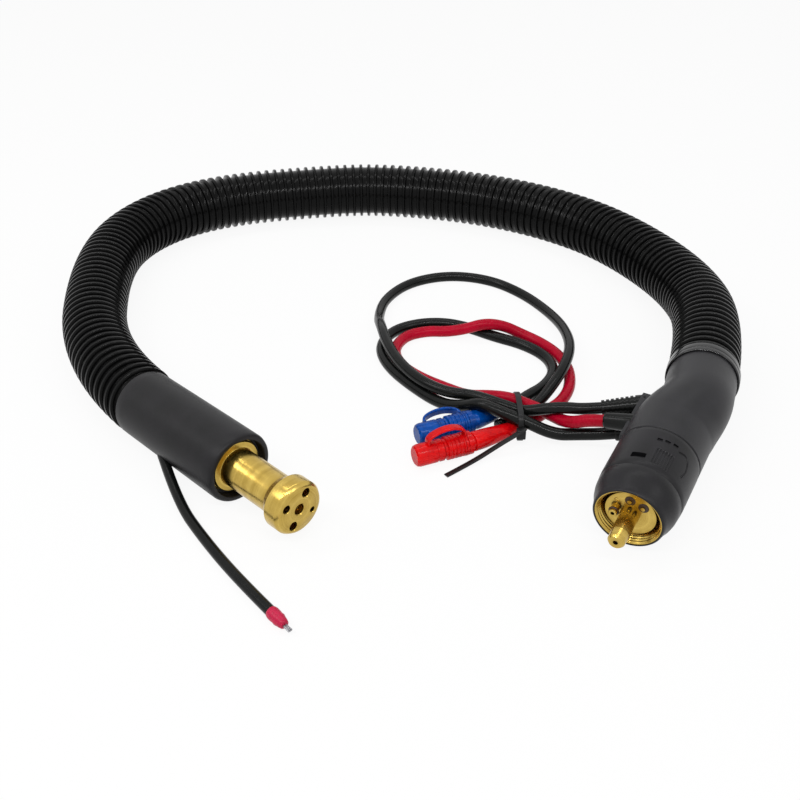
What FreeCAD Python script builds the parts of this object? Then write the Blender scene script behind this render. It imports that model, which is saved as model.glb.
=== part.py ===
import FreeCAD, Part
import math
import os

os.makedirs("parts", exist_ok=True)
V = FreeCAD.Vector

# The cable assembly of a water-cooled welding torch, lying on a floor at z = 0.
# Places on the floor are measured from the middle of the lead loop's left edge,
# and floor_x and floor_y bring them to the part's own origin, under the middle of its box.
floor_x = 7.2
floor_y = -30.3

# Plug end, machine side: distances run back from the front rim of the union nut
plug_rim = (119.13, -181.39)
plug_height = 21.75
plug_azimuth = -118.5
plug_rise = -6.0
nut_rim_radius = 19.2
nut_radius = 23.6
nut_length = 50.0
nut_wall = 3.0
insert_radius = 18.3
insert_thread_radius = 17.0
insert_front = 0.4
lip_front = 24.0
lip_rear = 30.0
running_clearance = 0.05
slack = 0.3
nut_skirt_bore = nut_radius - nut_wall
plug_face = 4.5
plug_body_radius = 14.0
flange_front = 20.0
flange_rear = 23.5
flange_radius = 16.6
shaft_radius = 12.0
ring_groove_radius = 11.0
ring_thickness = 1.4
manifold_front = 52.0
manifold_rear = 60.0
manifold_radius = 16.6
spigot_length = 8.0
pin_radius = 5.0
pin_root_radius = 5.3
pin_shoulder = 1.0
pin_land_length = 11.0
pin_tip = 18.6
pin_tip_radius = 4.4
liner_bore_radius = 2.3
nipple_bore_radius = 1.4

# Small parts in the plug's face, as side and up offsets from the plug's axis
control_bore_radius = 2.1
control_bore_depth = 19.0
control_pin_radius = 1.2
control_collar_radius = 1.8
control_pin_travel = 3.0
bush_rear = 13.0
control_top = (-1.05, 8.56)
control_side = (6.4, 6.39)
gas_port = (-8.4, 0.45)
gas_nipple_radius = 2.3
gas_nipple_rear = 14.0
gas_bore_radius = 1.1

# Housing behind the nut: a straight front barrel and a rear barrel turned towards the hose
housing_radius = 23.5
housing_bore = 20.7
housing_spigot_radius = nut_skirt_bore - slack
housing_spigot_wall = 2.5
housing_web_front = 40.0
elbow_station = 105.0
elbow_azimuth = 79.5
elbow_rounding = 3.0
elbow_wall = 1.8
housing_split = -2.0
screw_radius = 1.5
screw_head_radius = 2.8
screw_head_height = 2.4
screw_side = 17.2
screw_stations = (68.0, 94.0)
screw_seat = -12.0
screw_tip = 8.0
pillar_radius = 3.2

hose_start = (184.0, -62.0)
hose_start_height = 34.6
rear_azimuth = 250.5
rear_rise = 1.5
rear_radius = 21.3
rear_reach = 46.0
rear_bore = 18.3
clamp_ring_radius = 22.6
clamp_ring_length = 5.5
clamp_ring_gap = 0.5
clamp_skirt_length = 8.0
clamp_skirt_radius = 20.0

# Lead outlets on the left of the housing: station, height on the plug's axes, azimuth,
# then each line's place inside the wall and its side and up offsets at the elbow
boss_front = 60.0
boss_rear = 106.0
boss_radius = 25.6
boss_low = -21.0
boss_high = 9.0
boss_inner = 8.0
outlet_rise = -12.0
outlet_root = 4.0
control_outlet = (94.0, -3.0, 172.0)
red_outlet = (74.0, -1.0, 152.0)
black_outlet = (84.0, -14.0, 172.0)
outlet_inner = {"control": (89.0, -14.5, 1.0), "red": (76.0, -14.6, 3.5), "black": (87.0, -8.0, -13.6)}
elbow_places = {"control": (-7.7, 4.2), "red": (-1.0, 12.9), "black": (0.5, -13.6), "gas": (-6.2, -6.2)}
relief_length = 22.0
relief_base_radius = 6.0
relief_tip_radius = 4.9
relief_ribs = 7
relief_rib_depth = 0.7
sleeve_length = 14.0
sleeve_radius = 5.4
sleeve_tip_radius = 4.8
outlet_clearance = 0.3

# Corrugated hose
hose_crest_radius = 21.25
hose_valley_radius = 18.85
hose_bore_radius = 18.05
rib_pitch = 6.4
rib_steps = ((0.0, "valley"), (0.12, "crest"), (0.5, "crest"), (0.62, "valley"))
cuff_length = 20.0
cuff_clearance = 0.05
arc_share = 0.45
hose_first_run = 77.5
hose_last_run = 79.8
hose_points = [
    (203.0, 72.0, 24.5),
    (166.4, 151.1, 21.25),
    (120.3, 194.1, 21.25),
    (63.2, 223.2, 21.25),
    (-4.4, 238.8, 21.25),
    (-51.9, 238.8, 21.25),
    (-150.0, 218.0, 21.25),
    (-203.0, 172.5, 21.25),
    (-221.0, 103.5, 21.25),
]

# Torch end: distances run out from the mouth of the boot
boot_mouth = (-88.7, -138.3)
boot_height = 21.25
boot_azimuth = -44.5
boot_length = 92.5
boot_rear_radius = 20.6
boot_mouth_radius = 21.25
boot_bore = 17.5
boot_mouth_bore = 17.6
boot_edge = 1.5
seat_radius = 16.0
seat_rear = -24.0
hub_rear = -22.0
hub_front = -6.0
block_flange_radius = 15.2
block_flange_front = -3.0
neck_radius = 11.5
neck_front = 33.7
head_radius = 15.8
head_rear = 39.2
head_shoulder = 47.5
block_face = 50.0
face_radius = 13.4
wire_port_radius = 3.2
wire_port_depth = 8.0
port_circle_radius = 10.0
port_depth = 10.0
water_port_radius = 2.65
gas_port_radius = 2.4
dowel_hole_radius = 1.6
passage_circle_radius = 8.6
passage_radius = 1.5
cross_drill_place = -12.0
barb_length = 8.0
barb_radius = 2.0
barb_bore_radius = 1.2
supply_angle = 60.0
return_angle = 240.0
gas_angle = 150.0
dowel_angle = 330.0

# Lines inside the hose
cable_radius = 8.0
core_radius = 6.2
core_bore_radius = 2.6
crimp_radius = 8.8
crimp_length = 14.0
crimp_seat = 1.0
liner_radius = 2.1
liner_wire_bore = 1.1
line_radius = 3.0
line_bore_radius = 2.0
line_circle_radius = 12.2
line_twist = 180.0
cable_bend_station = 86.0
cable_elbow_reach = 36.0
elbow_line_station = 95.0
gas_straight = 18.0

# Trigger lead out of the boot
lead_slit_clearance = 0.25
trigger_exit_angle = 208.0
trigger_bend_place = -66.0
trigger_exit_place = -50.0
trigger_flare = 26.0
trigger_first_run = 35.0
trigger_points = [
    (-105.0, -177.0, 3.3),
    (-84.5, -205.5, 3.3),
    (-65.7, -228.2, 3.6),
]
tip_sleeve_radius = 3.5
tip_sleeve_length = 13.8
tip_wire_radius = 0.7
tip_wire_length = 5.5
tip_wire_spread = 1.0

# Leads lying loose by the plug: radius and route after the outlet's own straight
control_lead_radius = 3.6
water_lead_radius = 3.8
control_lead_straight = 30.0
red_lead_straight = 20.0
black_lead_straight = 20.0
control_lead_points = [
    (97.5, -80.5, 22.5),
    (86.0, -77.2, 19.0),
    (74.5, -72.5, 13.6),
    (59.5, -65.0, 15.2),
    (45.5, -54.0, 13.8),
    (31.0, -44.5, 11.2),
    (14.0, -24.0, 11.0),
    (0.0, 2.0, 12.0),
    (-10.5, 26.0, 11.8),
    (-15.5, 54.0, 5.5),
    (-11.5, 84.0, 3.65),
    (7.0, 110.0, 3.65),
    (37.0, 121.5, 3.65),
    (68.0, 114.0, 3.65),
    (91.0, 92.0, 3.65),
    (107.0, 64.0, 4.2),
    (114.0, 33.0, 9.0),
    (114.0, 2.0, 12.8),
    (104.0, -27.0, 12.0),
    (88.0, -49.5, 4.4),
    (73.5, -64.5, 4.9),
    (66.5, -70.0, 4.3),
    (63.5, -71.9, 4.3),
]
red_lead_points = [
    (100.0, -86.5, 13.5),
    (90.5, -73.2, 12.8),
    (78.0, -64.3, 13.6),
    (67.0, -57.0, 13.6),
    (55.0, -49.5, 9.8),
    (43.0, -41.8, 4.4),
    (31.0, -32.5, 3.85),
    (18.0, -17.0, 3.85),
    (8.5, 2.0, 3.85),
    (4.0, 18.0, 3.85),
    (9.0, 32.0, 3.85),
    (24.0, 41.0, 3.85),
    (44.0, 45.5, 3.85),
    (64.0, 46.5, 3.85),
    (83.0, 40.0, 3.85),
    (99.0, 27.5, 3.85),
    (110.0, 10.0, 3.85),
    (114.5, -11.0, 3.85),
    (111.5, -32.0, 3.85),
    (103.0, -48.0, 3.85),
    (91.0, -60.0, 4.9),
]
black_lead_points = [
    (106.5, -97.5, 7.0),
    (90.0, -91.0, 7.6),
    (73.5, -81.5, 14.2),
    (60.0, -76.0, 16.4),
    (49.0, -68.5, 17.4),
    (38.5, -59.5, 9.0),
    (27.5, -46.5, 4.2),
    (9.0, -21.5, 3.85),
    (-2.5, 3.0, 3.85),
    (-5.0, 22.0, 3.85),
    (1.5, 39.0, 3.85),
    (17.0, 49.5, 4.5),
    (32.0, 53.0, 8.9),
    (47.0, 49.5, 12.8),
    (61.0, 42.0, 12.8),
    (76.0, 31.5, 8.0),
    (90.0, 19.5, 4.2),
    (101.5, 3.0, 3.85),
    (101.5, -15.0, 3.85),
    (92.0, -31.0, 4.2),
    (80.0, -43.5, 5.0),
]
lead_end_length = 5.0
lead_end_radius = 3.75

# Couplings and caps of the two water leads
ferrule_length = 25.0
ferrule_entry_radius = 4.4
ferrule_radius = 6.0
ferrule_grip = 10.0
ferrule_clearance = 0.05
red_ferrule_start = (69.0, -79.0, 5.6)
red_ferrule_azimuth = 212.3
blue_ferrule_start = (58.8, -63.2, 5.6)
blue_ferrule_azimuth = 212.0
ferrule_rise = 4.2
ferrule_approach = 10.0
coupling_azimuth = 203.0
coupling_overlap = 3.0
coupling_root_radius = 5.5
coupling_grip_radius = 7.2
coupling_groove_radius = 6.2
coupling_groove = (4.0, 6.0)
coupling_grip_end = 17.0
coupling_shoulder_radius = 6.0
coupling_shoulder_end = 19.0
coupling_nose_radius = 5.0
coupling_nose_end = 27.0
coupling_bore_radius = 2.2
cap_front_gap = 0.3
cap_radius = 6.8
cap_depth = 9.0
cap_end = 37.0
strap_thickness = 1.5
strap_width = 4.2
strap_ring_radius = 7.3
strap_reach = 28.0
strap_rise = 13.0

# Cable tie round the crossing of the leads
tie_place = 72.5
tie_width = 3.6
tie_thickness = 0.9
tie_front = -88.0
tie_back = -43.0
tie_top = 19.4
tie_corner = 5.0
tie_head = (5.5, 4.2, 6.2)
tie_tail_start = (70.0, -89.0, 3.4)
tie_tail_end = (26.7, -118.7, 0.6)


def spot(place):
    """Turn a place on the floor plan into a point of the part's own frame."""
    return V(place[0] + floor_x, place[1] + floor_y, place[2])


def axes_at(origin, azimuth, rise):
    """A placement whose x axis points along the azimuth, tilted up by rise, in degrees."""
    turn = FreeCAD.Rotation(V(0, 0, 1), azimuth).multiply(FreeCAD.Rotation(V(0, 1, 0), -rise))
    return FreeCAD.Placement(origin, turn)


def turned(outline):
    """Revolve an outline of (distance along the axis, radius) corners about the x axis."""
    corners = [V(along, 0, radius) for along, radius in outline]
    face = Part.Face(Part.makePolygon(corners + corners[:1]))
    return face.revolve(V(0, 0, 0), V(1, 0, 0), 360)


def bar(start, end, radius, side=0.0, up=0.0):
    """A round bar along the x axis."""
    return Part.makeCylinder(radius, end - start, V(start, side, up), V(1, 0, 0))


def tube(start, end, bore, radius, side=0.0, up=0.0):
    """A round tube along the x axis."""
    return bar(start, end, radius, side, up).cut(bar(start, end, bore, side, up))


def rod(start, end, radius):
    """A round bar between two points."""
    return Part.makeCylinder(radius, (end - start).Length, start, end - start)


def ring_place(radius, angle):
    """Side and up offsets of a place on a circle about the x axis."""
    return (radius * math.cos(math.radians(angle)), radius * math.sin(math.radians(angle)))


def placed(shape, placement):
    """A copy of a shape moved from its own axes to a placement."""
    moved = shape.copy()
    moved.Placement = placement
    return moved


def largest(shape):
    """The largest solid of a shape, without the shavings of a cut."""
    return max(shape.Solids, key=lambda solid: solid.Volume)


def route_wire(points, name=None):
    """Straight runs joined by tangent arcs, each as large as its two runs allow."""
    edges = []
    radii = []
    start = points[0]
    for before, corner, after in zip(points, points[1:], points[2:]):
        back = (before - corner).normalize()
        ahead = (after - corner).normalize()
        half_turn = (math.pi - back.getAngle(ahead)) / 2
        if half_turn < 1e-4:
            continue
        reach = arc_share * min((before - corner).Length, (after - corner).Length)
        radius = reach / math.tan(half_turn)
        inward = (back + ahead).normalize()
        middle = corner + inward * (radius / math.cos(half_turn) - radius)
        edges.append(Part.LineSegment(start, corner + back * reach).toShape())
        edges.append(Part.Arc(corner + back * reach, middle, corner + ahead * reach).toShape())
        radii.append(radius)
        start = corner + ahead * reach
    edges.append(Part.LineSegment(start, points[-1]).toShape())
    wire = Part.Wire(edges)
    if name:
        print(name, "length %.1f" % wire.Length, "radii", [round(radius) for radius in radii])
    return wire


def pipe(points, radius, name=None):
    """A round solid along a route, with its volume held against section times length."""
    wire = route_wire(points, name)
    section = Part.Wire([Part.makeCircle(radius, points[0], points[1] - points[0])])
    solid = wire.makePipeShell([section], True, False)
    expected = math.pi * radius ** 2 * wire.Length
    if name:
        print(name, "volume ratio %.5f" % (solid.Volume / expected))
    return solid


def hollow_pipe(points, bore, radius, name=None):
    """A tube along a route."""
    return pipe(points, radius, name).cut(pipe(points, bore))


def line_points(centre_points, start_angle, end_angle, radius, twist_from, twist_to):
    """Points of a line that winds gently about a centre route, mitred at its corners."""
    lengths = [0.0]
    for before, after in zip(centre_points, centre_points[1:]):
        lengths.append(lengths[-1] + (after - before).Length)
    points = []
    for index, centre in enumerate(centre_points):
        come = centre - centre_points[max(index - 1, 0)]
        go = centre_points[min(index + 1, len(centre_points) - 1)] - centre
        come = come.normalize() if come.Length > 0 else go.normalize()
        go = go.normalize() if go.Length > 0 else come
        ahead = (come + go).normalize()
        left = V(0, 0, 1).cross(ahead).normalize()
        up = ahead.cross(left)
        span = lengths[twist_to] - lengths[twist_from]
        share = min(max((lengths[index] - lengths[twist_from]) / span, 0.0), 1.0)
        side, rise = ring_place(radius, start_angle + share * (end_angle - start_angle))
        mitre = math.cos(come.getAngle(go) / 2)
        points.append(centre + left * (side / mitre) + up * rise)
    return points


plug_axes = axes_at(spot(plug_rim + (plug_height,)), plug_azimuth, plug_rise)
rear_axes = axes_at(spot(hose_start + (hose_start_height,)), rear_azimuth, rear_rise)
boot_axes = axes_at(spot(boot_mouth + (boot_height,)), boot_azimuth, 0.0)


def on_plug(station, side=0.0, up=0.0):
    """A point on the plug's axes, at a distance behind the nut's rim."""
    return plug_axes.multVec(V(-station, side, up))


def on_rear(along, side=0.0, up=0.0):
    """A point on the rear barrel's axes, at a distance forward of the hose's visible start."""
    return rear_axes.multVec(V(along, side, up))


def on_boot(along, side=0.0, up=0.0):
    """A point on the boot's axes, at a distance out of its mouth."""
    return boot_axes.multVec(V(along, side, up))


def along_plug(outline):
    """A turned piece on the plug's axes, from (distance behind the rim, radius) corners."""
    return placed(turned([(-station, radius) for station, radius in outline]), plug_axes)


def plug_bar(front, rear, radius, side=0.0, up=0.0):
    """A round bar on the plug's axes between two distances behind the rim."""
    return placed(bar(-rear, -front, radius, side, up), plug_axes)


def make_union_nut():
    """The plastic grip of the union nut, with its bore for the insert and its rear skirt."""
    outer = [
        (0.0, nut_rim_radius),
        (2.0, nut_rim_radius + 0.6),
        (6.0, nut_radius - 2.7),
        (9.0, nut_radius - 1.4),
        (13.0, nut_radius - 0.5),
        (18.0, nut_radius - 0.2),
        (22.0, nut_radius),
        (nut_length - 3.0, nut_radius),
        (nut_length, nut_radius - 0.6),
    ]
    inner = [
        (nut_length, nut_skirt_bore),
        (lip_rear, nut_skirt_bore),
        (lip_rear, insert_radius),
        (0.0, insert_radius),
    ]
    return along_plug(outer + inner)


def make_nut_insert():
    """The brass insert: a threaded cup whose rear lip runs on the plug's shaft."""
    return along_plug([
        (insert_front, insert_thread_radius + 0.5),
        (insert_front, insert_radius),
        (lip_rear, insert_radius),
        (lip_rear, shaft_radius + running_clearance),
        (lip_front, shaft_radius + running_clearance),
        (lip_front, insert_thread_radius),
        (insert_front + 0.5, insert_thread_radius),
    ])


def make_retaining_ring():
    """The ring in the shaft's groove that keeps the nut from sliding back."""
    front = lip_rear + slack
    outer = plug_bar(front, front + ring_thickness, shaft_radius + 2.4)
    return outer.cut(plug_bar(front, front + ring_thickness, ring_groove_radius))


def gas_barb_place():
    """Side and up offsets of the gas barb at the rear of the plug."""
    left, rise = ring_place(line_circle_radius, gas_angle + line_twist)
    return (-left, rise)


def make_plug_body():
    """The brass body of the plug, from its face to the spigot of the power cable."""
    groove_front = lip_rear + slack
    body = along_plug([
        (plug_face, 0.0),
        (plug_face, plug_body_radius),
        (flange_front, plug_body_radius),
        (flange_front, flange_radius),
        (flange_rear, flange_radius),
        (flange_rear, shaft_radius),
        (groove_front, shaft_radius),
        (groove_front, ring_groove_radius),
        (groove_front + ring_thickness, ring_groove_radius),
        (groove_front + ring_thickness, shaft_radius),
        (manifold_front, shaft_radius),
        (manifold_front, manifold_radius),
        (manifold_rear, manifold_radius),
        (manifold_rear, core_radius),
        (manifold_rear + spigot_length, core_radius),
        (manifold_rear + spigot_length, 0.0),
    ])
    side, up = gas_barb_place()
    body = body.fuse(plug_bar(manifold_rear - 1.0, manifold_rear + barb_length, barb_radius, side, up))
    body = body.cut(plug_bar(0.0, flange_front, pin_radius))
    body = body.cut(plug_bar(0.0, manifold_rear + spigot_length, core_bore_radius))
    for place in (control_top, control_side):
        body = body.cut(plug_bar(0.0, control_bore_depth, control_bore_radius, *place))
    body = body.cut(plug_bar(0.0, gas_nipple_rear, gas_nipple_radius, *gas_port))
    turn_station = manifold_rear - 4.0
    body = body.cut(plug_bar(0.0, turn_station, gas_bore_radius, *gas_port))
    body = body.cut(rod(on_plug(turn_station, *gas_port), on_plug(turn_station, side, up), gas_bore_radius))
    body = body.cut(plug_bar(turn_station, manifold_rear + barb_length, gas_bore_radius, side, up))
    return body.removeSplitter()


def make_guide_pin():
    """The hollow centre pin that the wire leaves through and that seats in the machine."""
    land_front = -(pin_shoulder + pin_land_length)
    return along_plug([
        (flange_front, liner_bore_radius),
        (flange_front, pin_radius),
        (plug_face, pin_radius),
        (plug_face, pin_root_radius),
        (-pin_shoulder, pin_root_radius),
        (-pin_shoulder, pin_radius),
        (land_front, pin_radius),
        (-pin_tip + 1.2, pin_tip_radius + 0.3),
        (-pin_tip, pin_tip_radius - 0.6),
        (-pin_tip, liner_bore_radius),
    ])


def make_liner_nipple():
    """The brass nipple that holds the wire liner in the tip of the guide pin."""
    return along_plug([
        (-pin_tip, nipple_bore_radius),
        (-pin_tip, liner_bore_radius),
        (-pin_tip + 6.0, liner_bore_radius),
        (-pin_tip + 6.0, nipple_bore_radius),
    ])


def make_gas_nipple():
    """The gas nipple beside the guide pin, with the groove of its ring."""
    outline = [
        (0.0, gas_bore_radius),
        (0.0, gas_nipple_radius - 0.3),
        (0.3, gas_nipple_radius),
        (1.4, gas_nipple_radius),
        (1.4, gas_nipple_radius - 0.6),
        (2.8, gas_nipple_radius - 0.6),
        (2.8, gas_nipple_radius),
        (gas_nipple_rear, gas_nipple_radius),
        (gas_nipple_rear, gas_bore_radius),
    ]
    nipple = turned([(-station, radius) for station, radius in outline])
    nipple.translate(V(0, *gas_port))
    return placed_on(nipple, plug_axes)


def placed_on(shape, placement):
    """Move a shape that already stands at its offsets on a set of axes."""
    moved = shape.copy()
    moved.transformShape(placement.toMatrix(), True)
    return moved


def make_gas_ring():
    """The rubber ring in the gas nipple's groove."""
    minor = 0.62
    ring = Part.makeTorus(gas_nipple_radius - 0.6 + minor, minor, V(-2.1, *gas_port), V(1, 0, 0))
    return placed_on(ring, plug_axes)


def make_bush(place):
    """One insulating bush in the plug's face."""
    return plug_bar(plug_face - 0.4, bush_rear, control_bore_radius, *place).cut(
        plug_bar(plug_face - 0.4, bush_rear, control_pin_radius + running_clearance, *place))


def make_control_pin(place):
    """One sprung contact pin: a round-ended shaft and the collar its spring pushes on."""
    shaft = plug_bar(plug_face - 1.0, bush_rear + 1.2, control_pin_radius, *place)
    collar = plug_bar(bush_rear + 0.1, bush_rear + 1.2, control_collar_radius, *place)
    return shaft.fuse(collar).removeSplitter()


def make_control_spring(place):
    """The space of one contact spring, behind the pin's collar."""
    outer = plug_bar(bush_rear + 1.3, control_bore_depth, control_collar_radius, *place)
    return outer.cut(plug_bar(bush_rear + 1.3, control_bore_depth, control_pin_radius, *place))


def outlet_axes(outlet):
    """Axes of a lead's outlet, with x pointing out of the housing."""
    station, up, azimuth = outlet
    side = -math.sqrt(boss_radius ** 2 - up ** 2)
    return axes_at(on_plug(station, side, up), azimuth, outlet_rise)


outlets = {
    "control": outlet_axes(control_outlet),
    "red": outlet_axes(red_outlet),
    "black": outlet_axes(black_outlet),
}


def elbow_side(offset):
    """A large block on the hose's side of the housing's elbow."""
    size = 200.0
    block = Part.makeBox(size, size, size, V(offset, -size / 2, -size / 2))
    return placed(block, axes_at(on_plug(elbow_station), elbow_azimuth, 0.0))


def housing_envelope():
    """The housing's outer shape before it is hollowed."""
    front = plug_bar(nut_length + slack, elbow_station + 30.0, housing_radius)
    front = front.cut(elbow_side(0.0))
    rim = [edge for edge in front.Edges if edge.BoundBox.DiagonalLength > 2 * housing_radius]
    rear_rim = max(rim, key=lambda edge: (edge.CenterOfMass - on_plug(0.0)).Length)
    front = front.makeFillet(elbow_rounding, [rear_rim])
    rear = placed(bar(clamp_ring_length + clamp_ring_gap, rear_reach, rear_radius), rear_axes)
    boss = plug_bar(boss_front, boss_rear, boss_radius)
    cut_size = (boss_rear - boss_front, boss_radius - boss_inner + 10.0, boss_high - boss_low)
    cut_corner = V(-boss_rear, -boss_radius - 10.0, boss_low)
    boss = boss.common(placed(Part.makeBox(*cut_size, cut_corner), plug_axes))
    boss = boss.cut(elbow_side(0.0))
    spigot = plug_bar(housing_web_front - 7.0, nut_length + 1.0, housing_spigot_radius)
    return front.fuse([rear, boss, spigot])


def make_housing():
    """The two shells of the plug housing and the screws that join them."""
    envelope = housing_envelope()
    cavity = plug_bar(manifold_front, elbow_station + 30.0, housing_bore).cut(elbow_side(-elbow_wall))
    cavity = cavity.fuse(placed(bar(cuff_length, rear_reach - 3.0, rear_bore), rear_axes))
    socket_radius = hose_valley_radius + cuff_clearance
    hole = placed(bar(0.0, cuff_length, socket_radius), rear_axes)
    skirt = placed(bar(0.0, clamp_ring_length + clamp_ring_gap + clamp_skirt_length,
                       clamp_skirt_radius), rear_axes)
    front_bore = plug_bar(housing_web_front - 7.0, housing_web_front,
                          housing_spigot_radius - housing_spigot_wall)
    shaft = plug_bar(housing_web_front - 1.0, manifold_front + 1.0, shaft_radius)
    shell = envelope.cut([cavity, hole, skirt, front_bore, shaft])
    for station in screw_stations:
        pillar = rod(on_plug(station, screw_side, -15.0), on_plug(station, screw_side, 15.0), pillar_radius)
        shell = shell.fuse(pillar)
    for station in screw_stations:
        head_hole = rod(on_plug(station, screw_side, -30.0), on_plug(station, screw_side, screw_seat),
                        screw_head_radius + 0.1)
        shaft_hole = rod(on_plug(station, screw_side, screw_seat), on_plug(station, screw_side, screw_tip),
                         screw_radius)
        shell = shell.cut([head_hole, shaft_hole])
    for name, radius in (("control", relief_base_radius), ("red", sleeve_radius), ("black", sleeve_radius)):
        shell = shell.cut(placed(bar(-outlet_root, 30.0, radius), outlets[name]))
        inner = on_plug(*outlet_inner[name])
        root = outlets[name].multVec(V(-outlet_root, 0, 0))
        past = inner + (inner - root).normalize() * line_radius
        shell = shell.cut(rod(root, past, line_radius + slack))
    size = 400.0
    block = Part.makeBox(size, size, size, V(-size / 2, -size / 2, housing_split))
    above = placed(block, plug_axes)
    upper = largest(shell.common(above).removeSplitter())
    lower = largest(shell.cut(above).removeSplitter())
    screws = []
    for station in screw_stations:
        head = rod(on_plug(station, screw_side, screw_seat - screw_head_height),
                   on_plug(station, screw_side, screw_seat), screw_head_radius)
        shank = rod(on_plug(station, screw_side, screw_seat - 0.5), on_plug(station, screw_side, screw_tip),
                    screw_radius)
        screws.append(head.fuse(shank).removeSplitter())
    return upper, lower, Part.makeCompound(screws)


def make_clamp_ring():
    """The glossy ring that draws the hose's cuff into the housing."""
    bore = hose_valley_radius + cuff_clearance
    ring = tube(clamp_ring_gap, clamp_ring_gap + clamp_ring_length, bore, clamp_ring_radius)
    skirt_end = clamp_ring_gap + clamp_ring_length + clamp_skirt_length
    skirt = tube(clamp_ring_gap, skirt_end, bore, clamp_skirt_radius)
    return placed(ring.fuse(skirt).removeSplitter(), rear_axes)


def make_relief():
    """The ribbed strain relief of the control lead, with its root in the housing."""
    bore = control_lead_radius + outlet_clearance
    outline = [(-outlet_root, bore), (-outlet_root, relief_base_radius), (2.0, relief_base_radius)]
    step = (relief_length - 2.0) / relief_ribs
    for rib in range(relief_ribs):
        share = (rib + 0.5) / relief_ribs
        radius = relief_base_radius + share * (relief_tip_radius - relief_base_radius)
        start = 2.0 + rib * step
        outline += [
            (start, radius - relief_rib_depth),
            (start + 0.4 * step, radius - relief_rib_depth),
            (start + 0.4 * step, radius),
            (start + step, radius),
        ]
    outline.append((relief_length, bore))
    return placed(turned(outline), outlets["control"])


def make_sleeve(name):
    """The short smooth sleeve round a water lead, with its root in the housing."""
    bore = water_lead_radius + outlet_clearance
    outline = [
        (-outlet_root, bore),
        (-outlet_root, sleeve_radius),
        (1.0, sleeve_radius),
        (sleeve_length - 1.0, sleeve_tip_radius),
        (sleeve_length, sleeve_tip_radius - 0.5),
        (sleeve_length, bore),
    ]
    return placed(turned(outline), outlets[name])


hose_end = on_boot(-boot_length + cuff_length)
hose_route = [on_rear(cuff_length), on_rear(cuff_length - hose_first_run)]
hose_route += [spot(place) for place in hose_points]
hose_route += [on_boot(-boot_length + cuff_length - hose_last_run), hose_end]


def make_hose():
    """The corrugated hose: plain cuffs, square ribs lofted through circles, and its bore."""
    wire = route_wire(hose_route, "corrugated_hose")
    radius_of = {"valley": hose_valley_radius, "crest": hose_crest_radius}
    ribbed = wire.Length - 2 * cuff_length
    ribs = int((ribbed - 1.0) / rib_pitch)
    margin = (ribbed - ribs * rib_pitch) / 2
    stations = [(0.0, hose_valley_radius)]
    for rib in range(ribs):
        start = cuff_length + margin + rib * rib_pitch
        stations += [(start + share * rib_pitch, radius_of[kind]) for share, kind in rib_steps]
    stations.append((wire.Length, hose_valley_radius))
    sections = []
    passed = 0.0
    edges = list(wire.OrderedEdges)
    edge = edges.pop(0)
    for distance, radius in stations:
        while distance - passed > edge.Length + 1e-6 and edges:
            passed += edge.Length
            edge = edges.pop(0)
        place = edge.getParameterByLength(min(distance - passed, edge.Length))
        ahead = edge.tangentAt(place)
        circle = Part.Circle(edge.valueAt(place), ahead, radius)
        circle.XAxis = V(0, 0, 1) - ahead * ahead.z
        sections.append(Part.Wire([circle.toShape()]))
    outside = Part.makeLoft(sections, True, True)
    print("corrugated_hose ribs", ribs, "outside volume %.0f" % outside.Volume)
    hose = outside.cut(pipe(hose_route, hose_bore_radius))
    print("corrugated_hose valid", hose.isValid(), "volume %.0f" % hose.Volume)
    return hose


centre_route = [on_plug(manifold_rear + spigot_length), on_plug(cable_bend_station)]
centre_route.append(on_rear(cable_elbow_reach))
centre_route += hose_route
centre_route.append(on_boot(hub_rear - spigot_length))


def make_boot():
    """The rubber boot over the hose's end, seated on the block's hub, with the lead's slit."""
    socket = hose_valley_radius + cuff_clearance
    boot = placed(turned([
        (-boot_length, socket),
        (-boot_length, boot_rear_radius - 0.6),
        (-boot_length + 1.0, boot_rear_radius),
        (-boot_edge * 2, boot_mouth_radius),
        (-boot_edge * 0.4, boot_mouth_radius - boot_edge * 0.3),
        (0.0, boot_mouth_radius - boot_edge),
        (0.0, boot_mouth_bore),
        (hub_front, boot_mouth_bore),
        (hub_front, seat_radius),
        (seat_rear, seat_radius),
        (seat_rear, boot_bore),
        (-boot_length + cuff_length, boot_bore),
        (-boot_length + cuff_length, socket),
    ]), boot_axes)
    slit_end = trigger_start + trigger_direction * 30.0
    return boot.cut(rod(trigger_bend, slit_end, line_radius + lead_slit_clearance))


def radial_place(along, radius, angle):
    """A point of the boot's axes given by its distance and its place on a circle."""
    return on_boot(along, *ring_place(radius, angle))


flare_rise = math.tan(math.radians(trigger_flare))
trigger_bend = radial_place(trigger_bend_place, line_circle_radius, trigger_exit_angle)
trigger_start = radial_place(trigger_exit_place, line_circle_radius + flare_rise
                             * (trigger_exit_place - trigger_bend_place), trigger_exit_angle)
trigger_direction = (trigger_start - trigger_bend).normalize()


def boot_bar(start, end, radius, side=0.0, up=0.0):
    """A round bar on the boot's axes."""
    return placed(bar(start, end, radius, side, up), boot_axes)


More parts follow.
